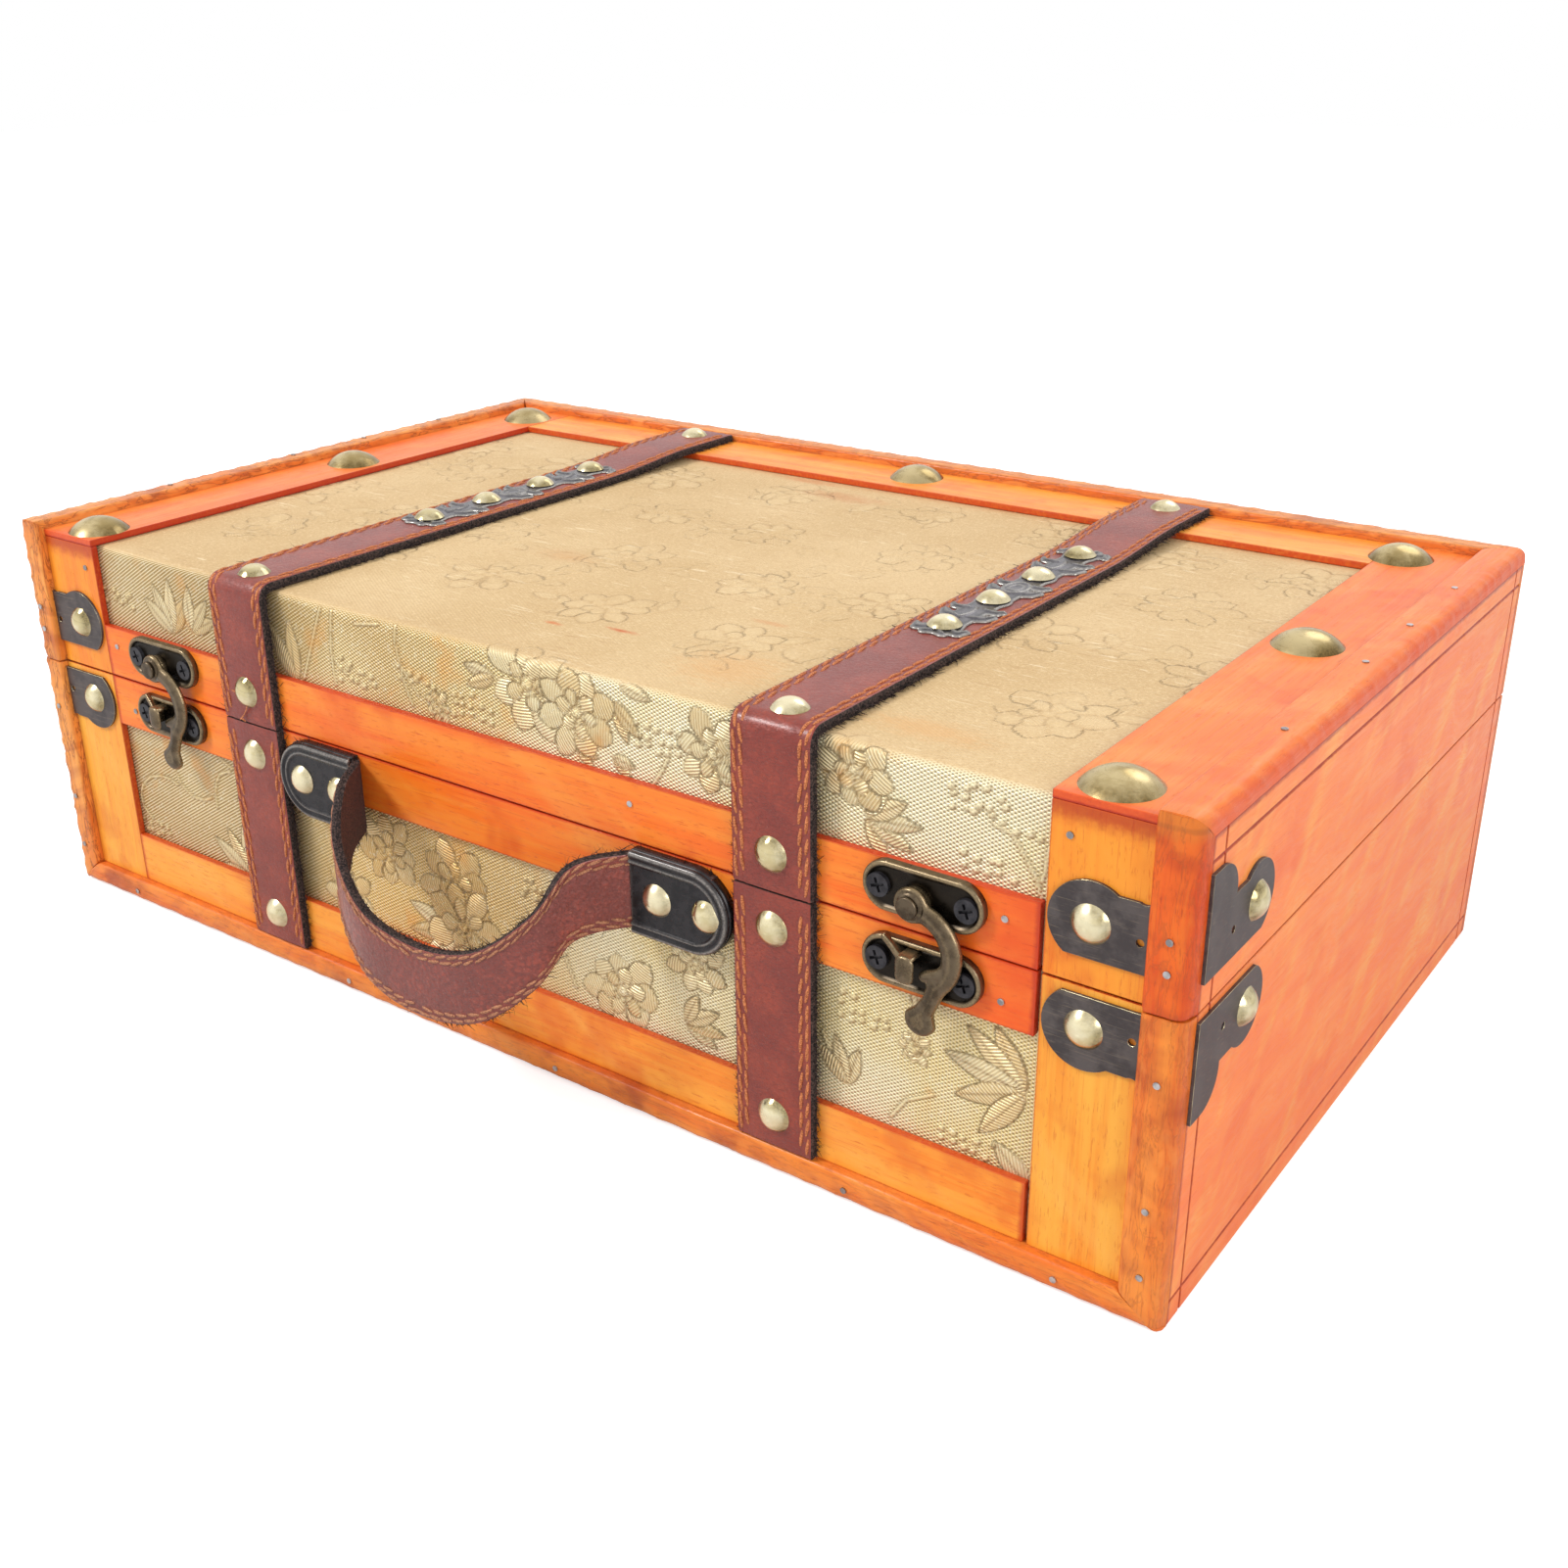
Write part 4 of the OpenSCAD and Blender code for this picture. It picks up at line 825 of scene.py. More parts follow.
def draw_brocade(u, v, seed, flowers, leaves, berries, stems):
    """The sheet's own flowers, leaves, berries and stems, and a thin net of sprays elsewhere."""
    p = Pattern(u, v)
    dice = np.random.default_rng(seed)
    taken = list(flowers) + list(leaves) + list(berries) + [q for line in stems for q in line[::2]]
    step_u, step_v = 44.0, 40.0
    for j in range(int(math.floor(v.min() / step_v)), int(math.ceil(v.max() / step_v)) + 1):
        for i in range(int(math.floor(u.min() / step_u)), int(math.ceil(u.max() / step_u)) + 1):
            cu, cv = (i + 0.5 * (j % 2)) * step_u + dice.uniform(-6, 6), j * step_v + dice.uniform(-6, 6)
            far = min([math.dist((cu, cv), q[:2]) for q in taken] + [99])
            angle = dice.uniform(0, 6.28)
            size = dice.uniform(16, 24)
            if far > 18:
                p.spray(cu, cv, angle, size, dice)
            if far > 26:
                p.flower(cu, cv, dice.uniform(11, 15), dice.uniform(0, 1), dice)
                p.spray(cu + 9, cv, angle + 2.5, dice.uniform(14, 20), dice)
    for line in stems:
        p.stem(line, 0.4)
    for cu, cv, angle, size, count in leaves:
        for k in range(count):
            off = k - (count - 1) / 2
            a = angle + off * 0.5 + dice.uniform(-0.1, 0.1)
            p.blade(cu, cv, a, size * (1 - 0.08 * abs(off)) * dice.uniform(0.9, 1.05), 1.0 + size * 0.09,
                    0.6 if off > 0 else -0.6, 0.42, 0.9, dice.uniform(0.1, 0.6), rib=True)
    for cu, cv, size, *rich in flowers:
        p.flower(cu, cv, size, dice.uniform(0, 1), dice, *rich)
    for cu, cv, count in berries:
        for k in range(count):
            u = cu + 3.0 * (k % 5 - 2) + dice.uniform(-0.9, 0.9)
            p.berry(u, cv + 2.7 * (k // 5 - 1) + dice.uniform(-0.9, 0.9), dice.uniform(0.75, 1.0))
    return p


def cloth(name, body, node, profile, seed, motifs, top_from=None):
    """A stretched sheet over a profile of (y, z) points, with the pattern raised out of it."""
    step = 0.55
    xs = np.arange(-mould_x, mould_x + step / 2, step)
    prof = np.asarray(profile, float)
    run = np.concatenate([[0], np.cumsum(np.linalg.norm(np.diff(prof, axis=0), axis=1))])
    rows = [0.0]
    while rows[-1] < run[-1] - 0.3:
        flat = top_from is not None and rows[-1] > top_from + 3
        rows.append(min(run[-1], rows[-1] + step * (1.25 if flat else 0.9)))
    rows = np.array(rows)
    y, z = np.interp(rows, run, prof[:, 0]), np.interp(rows, run, prof[:, 1])
    ty, tz = np.gradient(y), np.gradient(z)
    size = np.hypot(ty, tz)
    ny, nz = -tz / size, ty / size
    u, v = (grid.ravel() for grid in np.meshgrid(xs, rows))
    p = draw_brocade(u, v, seed, *motifs)
    k = len(xs)
    row_of = np.repeat(np.arange(len(rows)), k)
    top = np.zeros(len(u)) if top_from is None else np.clip((v - top_from) / 2 + 0.5, 0, 1)
    lift = (p.height - 0.14 * p.line) * (1 - 0.65 * top) - 0.16
    verts = np.stack([u, y[row_of] + ny[row_of] * lift, z[row_of] + nz[row_of] * lift], 1)
    a = (np.arange(len(rows) - 1)[:, None] * k + np.arange(k - 1)[None, :]).ravel()
    obj = mesh_object(name, verts, np.stack([a, a + 1, a + k + 1, a + k], 1), [gold])
    carry(obj, motif=p.motif, line=p.line, hatch=p.hatch, relief=p.height, tint=p.tint, top=top)
    dress(obj, "gold_cloth", body, node)


gold = brocade("brocade")
# Motif places along the front and up from the sheet's lower edge: flowers, leaf clusters, berries, stems
base_motifs = (
    [(-43, 40, 12, 0.5), (-18, 37, 13, 0.6), (-16, 25, 14, 0.6), (40, 24, 13, 0.2), (64, 40, 9),
     (-62, 22, 10, 0.4), (125.7, 38.3, 4.6)],
    [(154, 37, 3.0, 21, 5), (-18, 22, 3.3, 22, 3), (-105, 14, 2.35, 20, 4), (108, 22, 1.8, 13, 3),
     (60, 22, 0.3, 13, 4), (4, 26, 0.4, 15, 3)],
    [(139.5, 20, 10), (112, 43, 12), (14, 44, 12), (-82, 46, 8), (-150, 20, 10), (-140, 16, 5)],
    [[(101, 34), (103, 30), (106, 24)], [(120, 18), (124, 24), (131, 28)], [(24, 20), (20, 30), (12, 37)],
     [(-152, 21.7), (-156, 25), (-155.8, 29.4), (-154, 32.8), (-149.3, 36.4), (-143.7, 38), (-139.5, 38),
      (-136, 37)],
     [(-135.3, 40.6), (-134.4, 38), (-131.7, 36.2), (-129, 34.8), (-124, 35), (-120, 36.7)],
     [(-109, 48), (-114, 46), (-116.3, 43), (-117.6, 39), (-117.7, 34)], [(-113.5, 51.4), (-107.7, 49)]])
low, high = box("base_front_cloth")
cloth("brocade_base", "base", "base_front_cloth", [(cloth_y, low[2]), (cloth_y, high[2])], 11, base_motifs)
lid_motifs = (
    [(14, 32, 14), (29.7, 28, 12, 0.15), (70.7, 27, 11, 0.1), (109, 32.6, 10, 0.15), (-18, 19, 5, 0.3)],
    [(112.4, 22.5, 0.0, 14, 5), (43, 38.5, -0.2, 10, 1), (41.4, 33.8, -1.0, 12, 2), (29, 19.5, -0.4, 8, 2),
     (40.6, 19.6, -0.5, 8, 2), (-126, 18, 1.75, 18, 4), (-118, 20, 0.9, 15, 3), (-73, 14, 1.8, 20, 2),
     (3, 31.5, 3.3, 11, 2), (84, 20, 2.4, 10, 2)],
    [(139, 33, 15), (142.7, 20, 9), (154.5, 31, 5), (-6, 22, 13), (55, 27, 15), (-48, 22, 12), (-25, 27, 8),
     (-150, 26, 10)],
    [[(143.5, 29), (147.6, 28), (151, 23.4), (153.7, 19.4), (155.1, 15)],
     [(156, 27.2), (155.5, 21.5), (154.2, 18)],
     [(-55.6, 38), (-56.7, 32), (-57.5, 25.8), (-57, 17)], [(-57.3, 25.4), (-55, 23), (-52, 21)],
     [(-31.5, 38.5), (-32, 33.7), (-31, 28.8), (-30, 23.5), (-27.5, 17.5)],
     [(-30.7, 28.4), (-28.4, 24.8), (-25, 21)],
     [(-60, 38), (-70, 16)], [(-47, 36), (-38, 37.6)], [(52, 14), (56, 20), (58, 24)],
     [(-104, 16), (-108, 26), (-104, 36)]])


def rounded(y, z, radius, steps):
    """Points up the front and over a rounded edge whose corner would be at y and z."""
    return [(y + radius - radius * math.cos(a), z - radius + radius * math.sin(a))
            for a in np.linspace(0, math.pi / 2, steps + 1)]


cloth_low = box("lid_cloth")[0][2]
profile = [(cloth_y, cloth_low)] + rounded(cloth_y, cloth_top, 2.0, 6) + [(mould_rear, cloth_top)]
cloth("brocade_lid", "lid", "lid_cloth", profile, 23, lid_motifs,
      top_from=cloth_top - cloth_low - 0.3)

# Straps and handle

hide = leather("strap_leather", (158, 60, 38), (132, 44, 30))
hide_handle = leather("handle_leather", (160, 66, 48), (124, 48, 36), gloss=0.55, grain=1.0)
black_felt = felt("leather_edge", (24, 18, 18), (96, 76, 70))
suede = felt("leather_back", (54, 32, 28), (88, 54, 46))
orange_thread = thread("orange_thread", (222, 138, 84), (156, 78, 40))
tan_thread = thread("tan_thread", (200, 138, 100), (134, 80, 56))

leather_t = 2.5
strap_bend = 4.5
# The strap rises from the cloth to the rear strip over this run, which ends short of the strip
bridge, bridge_gap = 42.0, 0.6
for side, tag in SIDES:
    low, high = box("lid_strap_" + tag)
    x = (low[0] + high[0]) / 2
    top = cloth_top + leather_t
    bridge_end = mould_rear - post_wide - bridge_gap
    over = [(low[1], low[2])] + rounded(low[1], top, strap_bend, 8)
    over += [(bridge_end - bridge * (1 - t), top + (high[2] - top) * t * t * (3 - 2 * t))
             for t in np.linspace(0, 1, 12)]
    over += [(high[1], high[2])]
    for body in ("lid", "base"):
        node = "%s_strap_%s" % (body, tag)
        low, high = box(node)
        line = over if body == "lid" else [(low[1], low[2]), (low[1], high[2])]
        line = [(x, y, z) for y, z in line]
        piece = strap("strap_%s_%s" % (body, tag), line, (1, 0, 0), high[0] - low[0], leather_t,
                      [hide, black_felt, orange_thread, suede], (1.2, 3.0), 5.2, 4.5)
        dress(piece, "strap_leather", body, node)

# The handle's line, the same as the CAD model's: (x, out from the front, down from the end plates)
handle_half, grip_half, handle_out, handle_drop, handle_w, tongue = 49.0, 39.8, 29.0, 28.0, 20.0, 24.0
low, high = box("handle_plate_right")
handle_z = (low[2] + high[2]) / 2
half = [(handle_half + leather_t, leather_t / 2, 0), (handle_half - leather_t / 2, leather_t * 0.9, 0),
        (grip_half, handle_out * 0.5, handle_drop * 0.035),
        (grip_half * 0.85, handle_out * 0.77, handle_drop * 0.45),
        (grip_half * 0.49, handle_out * 0.965, handle_drop * 0.86), (0, handle_out, handle_drop)]
knots = np.array(half + [(-a, b, c) for a, b, c in reversed(half[:-1])], float)
knots = np.concatenate([[2 * knots[0] - knots[1]], knots, [2 * knots[-1] - knots[-2]]])
curve = []
for a, b, c, d in zip(knots[:-3], knots[1:-2], knots[2:-1], knots[3:]):
    for t in np.arange(8) / 8:
        square, cube = 2 * a - 5 * b + 4 * c - d, 3 * b - a - 3 * c + d
        curve.append(0.5 * (2 * b + (c - a) * t + square * t ** 2 + cube * t ** 3))
curve = np.array(curve + [knots[-2]])
for side, tag in SIDES:
    away = curve[:, 0] * side
    part = curve[(away >= -1e-6) & (away < handle_half - 0.5)]
    part = part[np.argsort(part[:, 0] * side)]
    line = [(x, front_y - out, handle_z - down) for x, out, down in part]
    line += [(side * (handle_half + far), front_y - leather_t / 2, handle_z) for far in (1, tongue)]
    # The strap function wants the outer face, so the line is moved out by half the thickness
    line = np.array(line, float)
    flat = np.gradient(line[:, :2], axis=0)
    flat /= np.linalg.norm(flat, axis=1)[:, None]
    line[:, :2] += np.stack([flat[:, 1], -flat[:, 0]], 1) * side * leather_t / 2
    piece = strap("handle_" + tag, line, (0, 0, -side), handle_w, leather_t,
                  [hide_handle, black_felt, tan_thread, suede], (1.1, 2.7), 4.0, 2.5, joined=True)
    dress(piece, "strap_leather", None, "handle_grip", "handle_ends")
    side * 0.046
    side * 0.034
    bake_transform(piece)

# Wood

for n in ("lid_rail", "base_top_rail"):
    soften(n, 0.16)
for n in ("base_bottom_rail", "lid_posts", "base_posts", "lid_strip_left", "lid_strip_right",
          "lid_strip_rear", "base_rear_mouldings", "lid_rear_mouldings"):
    soften(n, 0.26)
for n in ("base_end_left", "base_end_right", "lid_end_left", "lid_end_right"):
    soften(n, 0.18, 1)


def borders(node, axis):
    """Stain gathered along both edges of a board."""
    return [(axis, corner[AXES[axis]], 0.5, 0.6) for corner in box(node)]


dark_red, groove_red = (176, 40, 18), (160, 40, 20)
seam_pools = [("z", seam, 0.6, 0.35)]
rail_ends = [("x", post_x - 1, 1.4, 0.9), ("x", -post_x, 1.4, 0.8)]
rail_blush = [("x", post_x, 30.0, 0.6, (238, 84, 26)), ("x", -55.0, 12.0, 0.4, (236, 84, 24))]
post_edges = [("x", side * (post_x + a), 0.5, 0.6) for side in (-1, 1) for a in (0, post_wide)]
strip_pools = [("y", front_y, 2.5, 0.6), ("z", strip_top - 2, 0.7, 0.9, dark_red)]
strip_pools += [("x", side * post_x, 0.35, 0.7, dark_red) for side in (-1, 1)]
# The end boards' grooves and their edges
low, high = box("lid_end_right")
groove_in, groove_far_in = 6.3, 5.7
grooves = [pool + (groove_red,) for pool in
           (("y", low[1] + groove_in, 0.6, 0.9), ("y", high[1] - groove_far_in, 0.6, 0.9),
            ("z", high[2] - groove_far_in, 0.6, 0.9), ("z", groove_in, 0.6, 0.9),
            ("z", high[2], 1.3, 0.8), ("y", low[1], 1.2, 0.7), ("y", high[1], 1.4, 0.8))]
for name, node in (("wood_lid_rail", "lid_rail"), ("wood_base_rail", "base_top_rail")):
    rail_pools = rail_blush + seam_pools + rail_ends + borders(node, "z")
    paint(wood(name, "x", "y", pools=rail_pools, **ORANGE), node)
paint(wood("wood_low_rail", "x", "y", pools=rail_ends + borders("base_bottom_rail", "z"), **HONEY),
      "base_bottom_rail")
paint(wood("wood_lid_posts", "z", "y", pools=seam_pools + post_edges + [("z", cloth_top, 5.0, 0.8)], **AMBER),
      "lid_posts")
paint(wood("wood_base_posts", "z", "y", pools=seam_pools + post_edges, **YELLOW), "base_posts")
paint(wood("wood_strip_side", "y", "z", pools=strip_pools, **WARM), "lid_strip_left", "lid_strip_right")
paint(wood("wood_strip_rear", "x", "z", pools=borders("lid_strip_rear", "y"), **HONEY), "lid_strip_rear")
paint(wood("wood_rear_upright", "z", "y", wobble=3.0, rim=0.4, **BROWNER), "base_rear_mouldings",
      "lid_rear_mouldings")
paint(wood("wood_end", "y", "x", wobble=14.0, tone=0.4, marks=0.15, worn=0.75, pools=seam_pools + grooves,
           inside=True, **SALMON), "base_end_left", "base_end_right", "lid_end_left", "lid_end_right")
paint(wood("wood_board", "x", "y", wobble=10.0, tone=0.35, pools=seam_pools, inside=True, **SALMON),
      "base_front_board", "base_rear_board", "lid_front_board", "lid_rear_board")
paint(wood("wood_flat_board", "x", "z", wobble=16.0, tone=0.35, inside=True, **SALMON), "base_floor",
      "lid_top_board")

# Hand-cut edge mouldings, with the CAD model's sections and mitres
foot_h = box("base_foot_moulding")[1][2]
mould_low, mould_high = box("lid_moulding_right")
mould_front, mould_top, board_top = mould_low[1], mould_high[2], mould_low[2]
mould_w, corner, small = side_x - mould_x, 3.4, 1
deep = box("base_foot_moulding")[1][1] - mould_front
rise = mould_top - board_top


def section(inner, edge, face, outer):
    """A ring of (a, b, share of the cut): none at the inner and outer ends, more and more over the face."""
    shares = np.linspace(0.35, 1, len(face))
    return [(a, b, 0.0) for a, b in inner] + [(a, b, 0.12) for a, b in edge] \
        + [(a, b, w) for (a, b), w in zip(face, shares)] + [(a, b, 0.0) for a, b in outer]


upright = section([(0, deep)], [(0, 1)] + arc(small, small, small, 180, 270) + [(mould_w * 0.5, 0)],
                  arc(mould_w - corner, corner, corner, 270, 360, 7), [(mould_w, deep)])
top_part = section([(0, 0)], arc(small, rise - small, small, 180, 90) + [(mould_w * 0.5, rise)],
                   arc(mould_w - corner, rise - corner, corner, 90, 0, 7), [(mould_w, 0)])
foot_part = section([(deep, 0)], [], arc(corner, corner, corner, 270, 180, 6), []) \
    + [(0, foot_h * 0.5, 0.2)] + section([], arc(small, foot_h - small, small, 180, 90), [], [(deep, foot_h)])
worn_corner = [("z", mould_top, 6.0, 0.6, (216, 128, 44)), ("z", mould_top - 3, 0.8, 0.3, (120, 66, 30))]
tawny = wood("wood_tawny", "z", "y", wobble=4.0, tone=0.6, carved=1.0, rim=0.25, pools=seam_pools, **TAWNY)
rosy = wood("wood_rosy", "z", "y", wobble=3.0, tone=0.8, carved=0.4, rim=0.35, pools=seam_pools + worn_corner,
            **ROSY)
browner = wood("wood_browner", "z", "y", wobble=3.0, tone=0.8, carved=0.4, rim=0.3, pools=seam_pools,
               **BROWNER)
top_side = wood("wood_top_side", "y", "z", wobble=4.0, tone=0.7, carved=0.9, rim=0.3, **TAWNY)
top_pools = [("x", mould_x, 0.8, 0.6), ("x", side_x, 1.0, 0.7), ("y", mould_front, 5.0, 0.6, (226, 124, 50))]
top_right = wood("wood_top_right", "y", "z", wobble=3.0, tone=0.5, carved=0.15, rim=0.4, pools=top_pools,
                 **WARM)
top_rear = wood("wood_top_rear", "x", "z", wobble=3.0, tone=0.6, carved=0.7, rim=0.4,
                pools=[("y", mould_rear, 0.8, 0.6)], **TAWNY)
foot_wood = wood("wood_foot", "x", "y", wobble=3.0, tone=0.7, carved=0.3, rim=0.4, **BROWNER)


def mitre(p):
    """How far the foot moulding's end reaches at a point of its section."""
    return side_x - p[1] * mould_w / foot_h


for side, tag, low_mat, high_mat, top_mat, cut, top_cut in (
        (-1, "left", tawny, tawny, top_side, 1.4, 1.3), (1, "right", browner, rosy, top_right, 0.4, 0.4)):
    def stand(a, b, c, side=side):
        return (side * (mould_x + a), mould_front + b, c)

    def lie(a, b, c, side=side):
        return (side * (mould_x + a), c, board_top + b)

    dress(moulding("upright_base_" + tag, low_mat, upright, lambda p: foot_h * (1 - p[0] / mould_w),
                   lambda p: base_high, stand, cut, 3 + side),
          "edge_wood", "base", "base_front_mouldings")
    dress(moulding("upright_lid_" + tag, high_mat, upright, lambda p: lid_low,
                   lambda p: mould_top - min(p[1], rise), stand, cut, 13 + side),
          "edge_wood", "lid", "lid_front_mouldings")
    dress(moulding("moulding_top_" + tag, top_mat, top_part, lambda p: mould_front + rise - p[1],
                   lambda p: mould_rear + p[0], lie, top_cut, 23 + side),
          "edge_wood", "lid", "lid_moulding_" + tag)
dress(moulding("moulding_top_rear", top_rear, top_part, lambda p: -mould_x - p[0], lambda p: mould_x + p[0],
               lambda a, b, c: (c, mould_rear + a, board_top + b), 0.9, 31, scallop=9.0),
      "edge_wood", "lid", "lid_moulding_rear")
dress(moulding("moulding_foot", foot_wood, foot_part, lambda p: -mitre(p), mitre,
               lambda a, b, c: (c, mould_front + a, b), 0.45, 37, scallop=11.0),
      "edge_wood", "base", "base_foot_moulding")

# Metal

pale = metal("pale_brass", (250, 238, 200), (222, 206, 158), (144, 126, 82), 0.2, pitted=0.1, cloudy=0.12,
             rim_patina_and_shade=0.8)
aged = metal("aged_brass", (216, 196, 148), (178, 156, 106), (118, 94, 54), 0.24, brushed=0.3, pitted=0.25,
             cloudy=0.09, rim_patina_and_shade=0.9)
gun = metal("gunmetal", (94, 86, 84), (70, 63, 63), (146, 130, 110), 0.4, metalness=0.5, brushed=0.4,
            pitted=0.12, cloudy=0.15)
cut_edge = metal("cut_edge", (226, 212, 172), (176, 160, 122), (110, 96, 70), 0.3)
black = metal("black_metal", (46, 43, 45), (30, 28, 30), (78, 72, 70), 0.26, metalness=0.4, pitted=0.2,
              bright=(176, 168, 160))
screws = metal("black_screws", (58, 56, 60), (38, 36, 40), (84, 80, 82), 0.36, metalness=0.4, pitted=0.4)
bronze = metal("bronze", (104, 90, 72), (74, 62, 48), (26, 22, 18), 0.3, metalness=0.8, pitted=0.25,
               bright=(168, 146, 110))
steel = metal("steel", (206, 206, 212), (150, 150, 158), (96, 92, 96), 0.3)
brad = metal("brad_steel", (206, 204, 204), (150, 146, 146), (96, 80, 70), 0.3)
pewter = metal("pewter", (116, 112, 116), (88, 85, 91), (50, 47, 50), 0.26, metalness=0.6, pitted=0.05,
               bright=(186, 182, 172))
paint(pale, "base_strap_studs", "lid_strap_studs", "handle_studs", "base_corner_studs", "lid_corner_studs")
paint(aged, "lid_domes", "hinge_base_leaves", "hinge_lid_leaves")
paint(gun, "base_corner_leaves", "lid_corner_leaves")
paint(screws, "catch_screws", "latch_screws")
paint(bronze, "latch_rivets")
paint(steel, "hinge_pins", "hinge_base_screws", "hinge_lid_screws")
paint(brad, "base_brads", "lid_brads")
for n in ("base_corner_leaves", "lid_corner_leaves"):
    soften(n, 0.28, 1, bright=cut_edge)
soften("latch_rivets", 0.35, 3)


def bump_at(value, middle, wide):
    """1 where a value is at its middle, falling off over about its width."""
    return np.exp(-((value - middle) / wide) ** 2)


def step_up(value, start, over):
    """0 before a start and 1 after it, rising evenly over a width."""
    return np.clip((value - start) / over, 0, 1)


def level(height):
    """A flat top for a relief."""
    return lambda d, x, y: height + 0 * d


# Embossed end plates of the handle, with a pocket for the leather
plate_l, plate_deep, plate_wall, pocket = 29.3, 3.9, 1.0, 2.75
for side, tag in SIDES:
    low, high = box("handle_plate_" + tag)
    plate_r = (high[2] - low[2]) / 2
    bounds = (0, -plate_r), (plate_l, plate_r)

    def plate_edge(x, y, plate_r=plate_r):
        """Distance inside the plate's D shape, with its open end at x = 0."""
        return plate_r - np.hypot(np.maximum(x - plate_l + plate_r, 0), y)

    def embossed(d, x, y):
        e = plate_edge(x, y)
        flange = plate_deep - 1.0 + 1.0 * dome_edge(e, 1.1)
        return flange - 0.4 * bump_at(e, 2.1, 0.35) - 0.5 * step_up(e, 3.0, 0.5)

    # Painted highlights along the flange's round edge and the inner ridge, and a lighter cut edge at the open
    # end.
    def rubbed(d, x, y):
        e = plate_edge(x, y)
        return 0.75 * bump_at(e, 0.75, 0.3) + 0.6 * bump_at(e, 2.75, 0.22) + 0.5 * np.exp(-np.abs(x) / 0.25)

    def plate_outline(x, y):
        return np.maximum(-plate_edge(x, y), -x)

    def wall(x, y):
        return np.maximum(np.abs(plate_edge(x, y) - plate_wall / 2) - plate_wall / 2, -x)

    def by_plate(x, y, z, side=side):
        return (side * (handle_half + x), front_y - z, handle_z + y)

    plate = Relief()
    plate.add(plate_outline, *bounds, 0.3, by_plate, pocket, embossed, rubbed)
    plate.add(wall, *bounds, 0.3, by_plate, 0.0, level(pocket + 0.05), level(0))
    if side < 0:
        plate.faces = [f[:, ::-1] for f in plate.faces]
    dress(plate.object("end_plate_" + tag, black), "gunmetal", "base", "handle_plate_" + tag)

# Latches. Everything is placed from the rivets, which the hooks turn on.
rivet_r, latch_half_l, latch_half_h = 2.6, 15, 6
hook_low, hook_t, tab_seat, plate_t, plate_base = 3.0, 1.8, 5.1, 2.0, 1.0
rivets_low, rivets_high = box("latch_rivets")
plates_low, plates_high = box("latch_plates")
pivot_z = (rivets_low[2] + rivets_high[2]) / 2
latch_z, catch_z = plates_low[2] + latch_half_h, box("catch_plates")[0][2] + latch_half_h
# The rivet's and the plate's middle on each side
latch_x = {"left": (rivets_low[0] + rivet_r, plates_low[0] + latch_half_l),
           "right": (rivets_high[0] - rivet_r, plates_high[0] - latch_half_l)}


def on_front(cx, cz):
    return lambda x, y, z: (cx + x, front_y - z, cz + y)


def plate_shape(x, y):
    reach = latch_half_l - latch_half_h
    return chain(x, y, [(-reach, 0, latch_half_h), (reach, 0, latch_half_h)])


def plate_face(d, x, y):
    """A rounded rim round a hollow."""
    sunk = step_up(d, 1.0, 0.7)
    return plate_t - 0.5 + 0.5 * dome_edge(d, 0.6) - 0.75 * (sunk * sunk * (3 - 2 * sunk))


def add_plate(relief, cx, cz):
    """The pressed plate that the latch and the catch share."""
    corner = np.array([latch_half_l, latch_half_h])
    # A painted highlight along the raised rim, and a dark hollow inside it.
    relief.add(plate_shape, -corner, corner, 0.3, on_front(cx, cz), 0.0, plate_face,
               lambda d, x, y: 0.85 * bump_at(d, 0.55, 0.4), lambda d, x, y: 0.9 * step_up(d, 1.1, 0.5))


def pad(x0, y0, x1, y1, r):
    """A block's shape with its lowest and highest corner."""
    return (lambda x, y: block(x, y, x0, y0, x1, y1, r)), (x0, y0), (x1, y1)


def hook_outline(x, y):
    radii = np.interp(np.arange(13), [0, 3, 7, 12], [2.3, 2.4, 2.5, 2.25])
    arm = [(a, b, r) for (a, b), r in zip(arc(0.8, -10.4, 9.5, 96, -50, 12), radii)]
    tail = [arm[-1], (5.3, -21.9, 2.0), (4.0, -24.4, 2.3), (3.1, -27.0, 3.9)]
    d = blend_min(chain(x, y, arm), chain(x, y, tail), 0.6)
    d = blend_min(d, np.hypot(x, y) - 4.15, 0.9)
    return blend_min(d, chain(x, y, [(8.2, -14.4, 1.6), (3.7, -16.1, 1.25)]), 1.2)


def hook_face(d, x, y):
    return hook_low + 0.45 + (hook_t - 0.45) * dome_edge(d, 2.3) - 0.35 * bump_at(np.hypot(x, y), 3.2, 0.3)


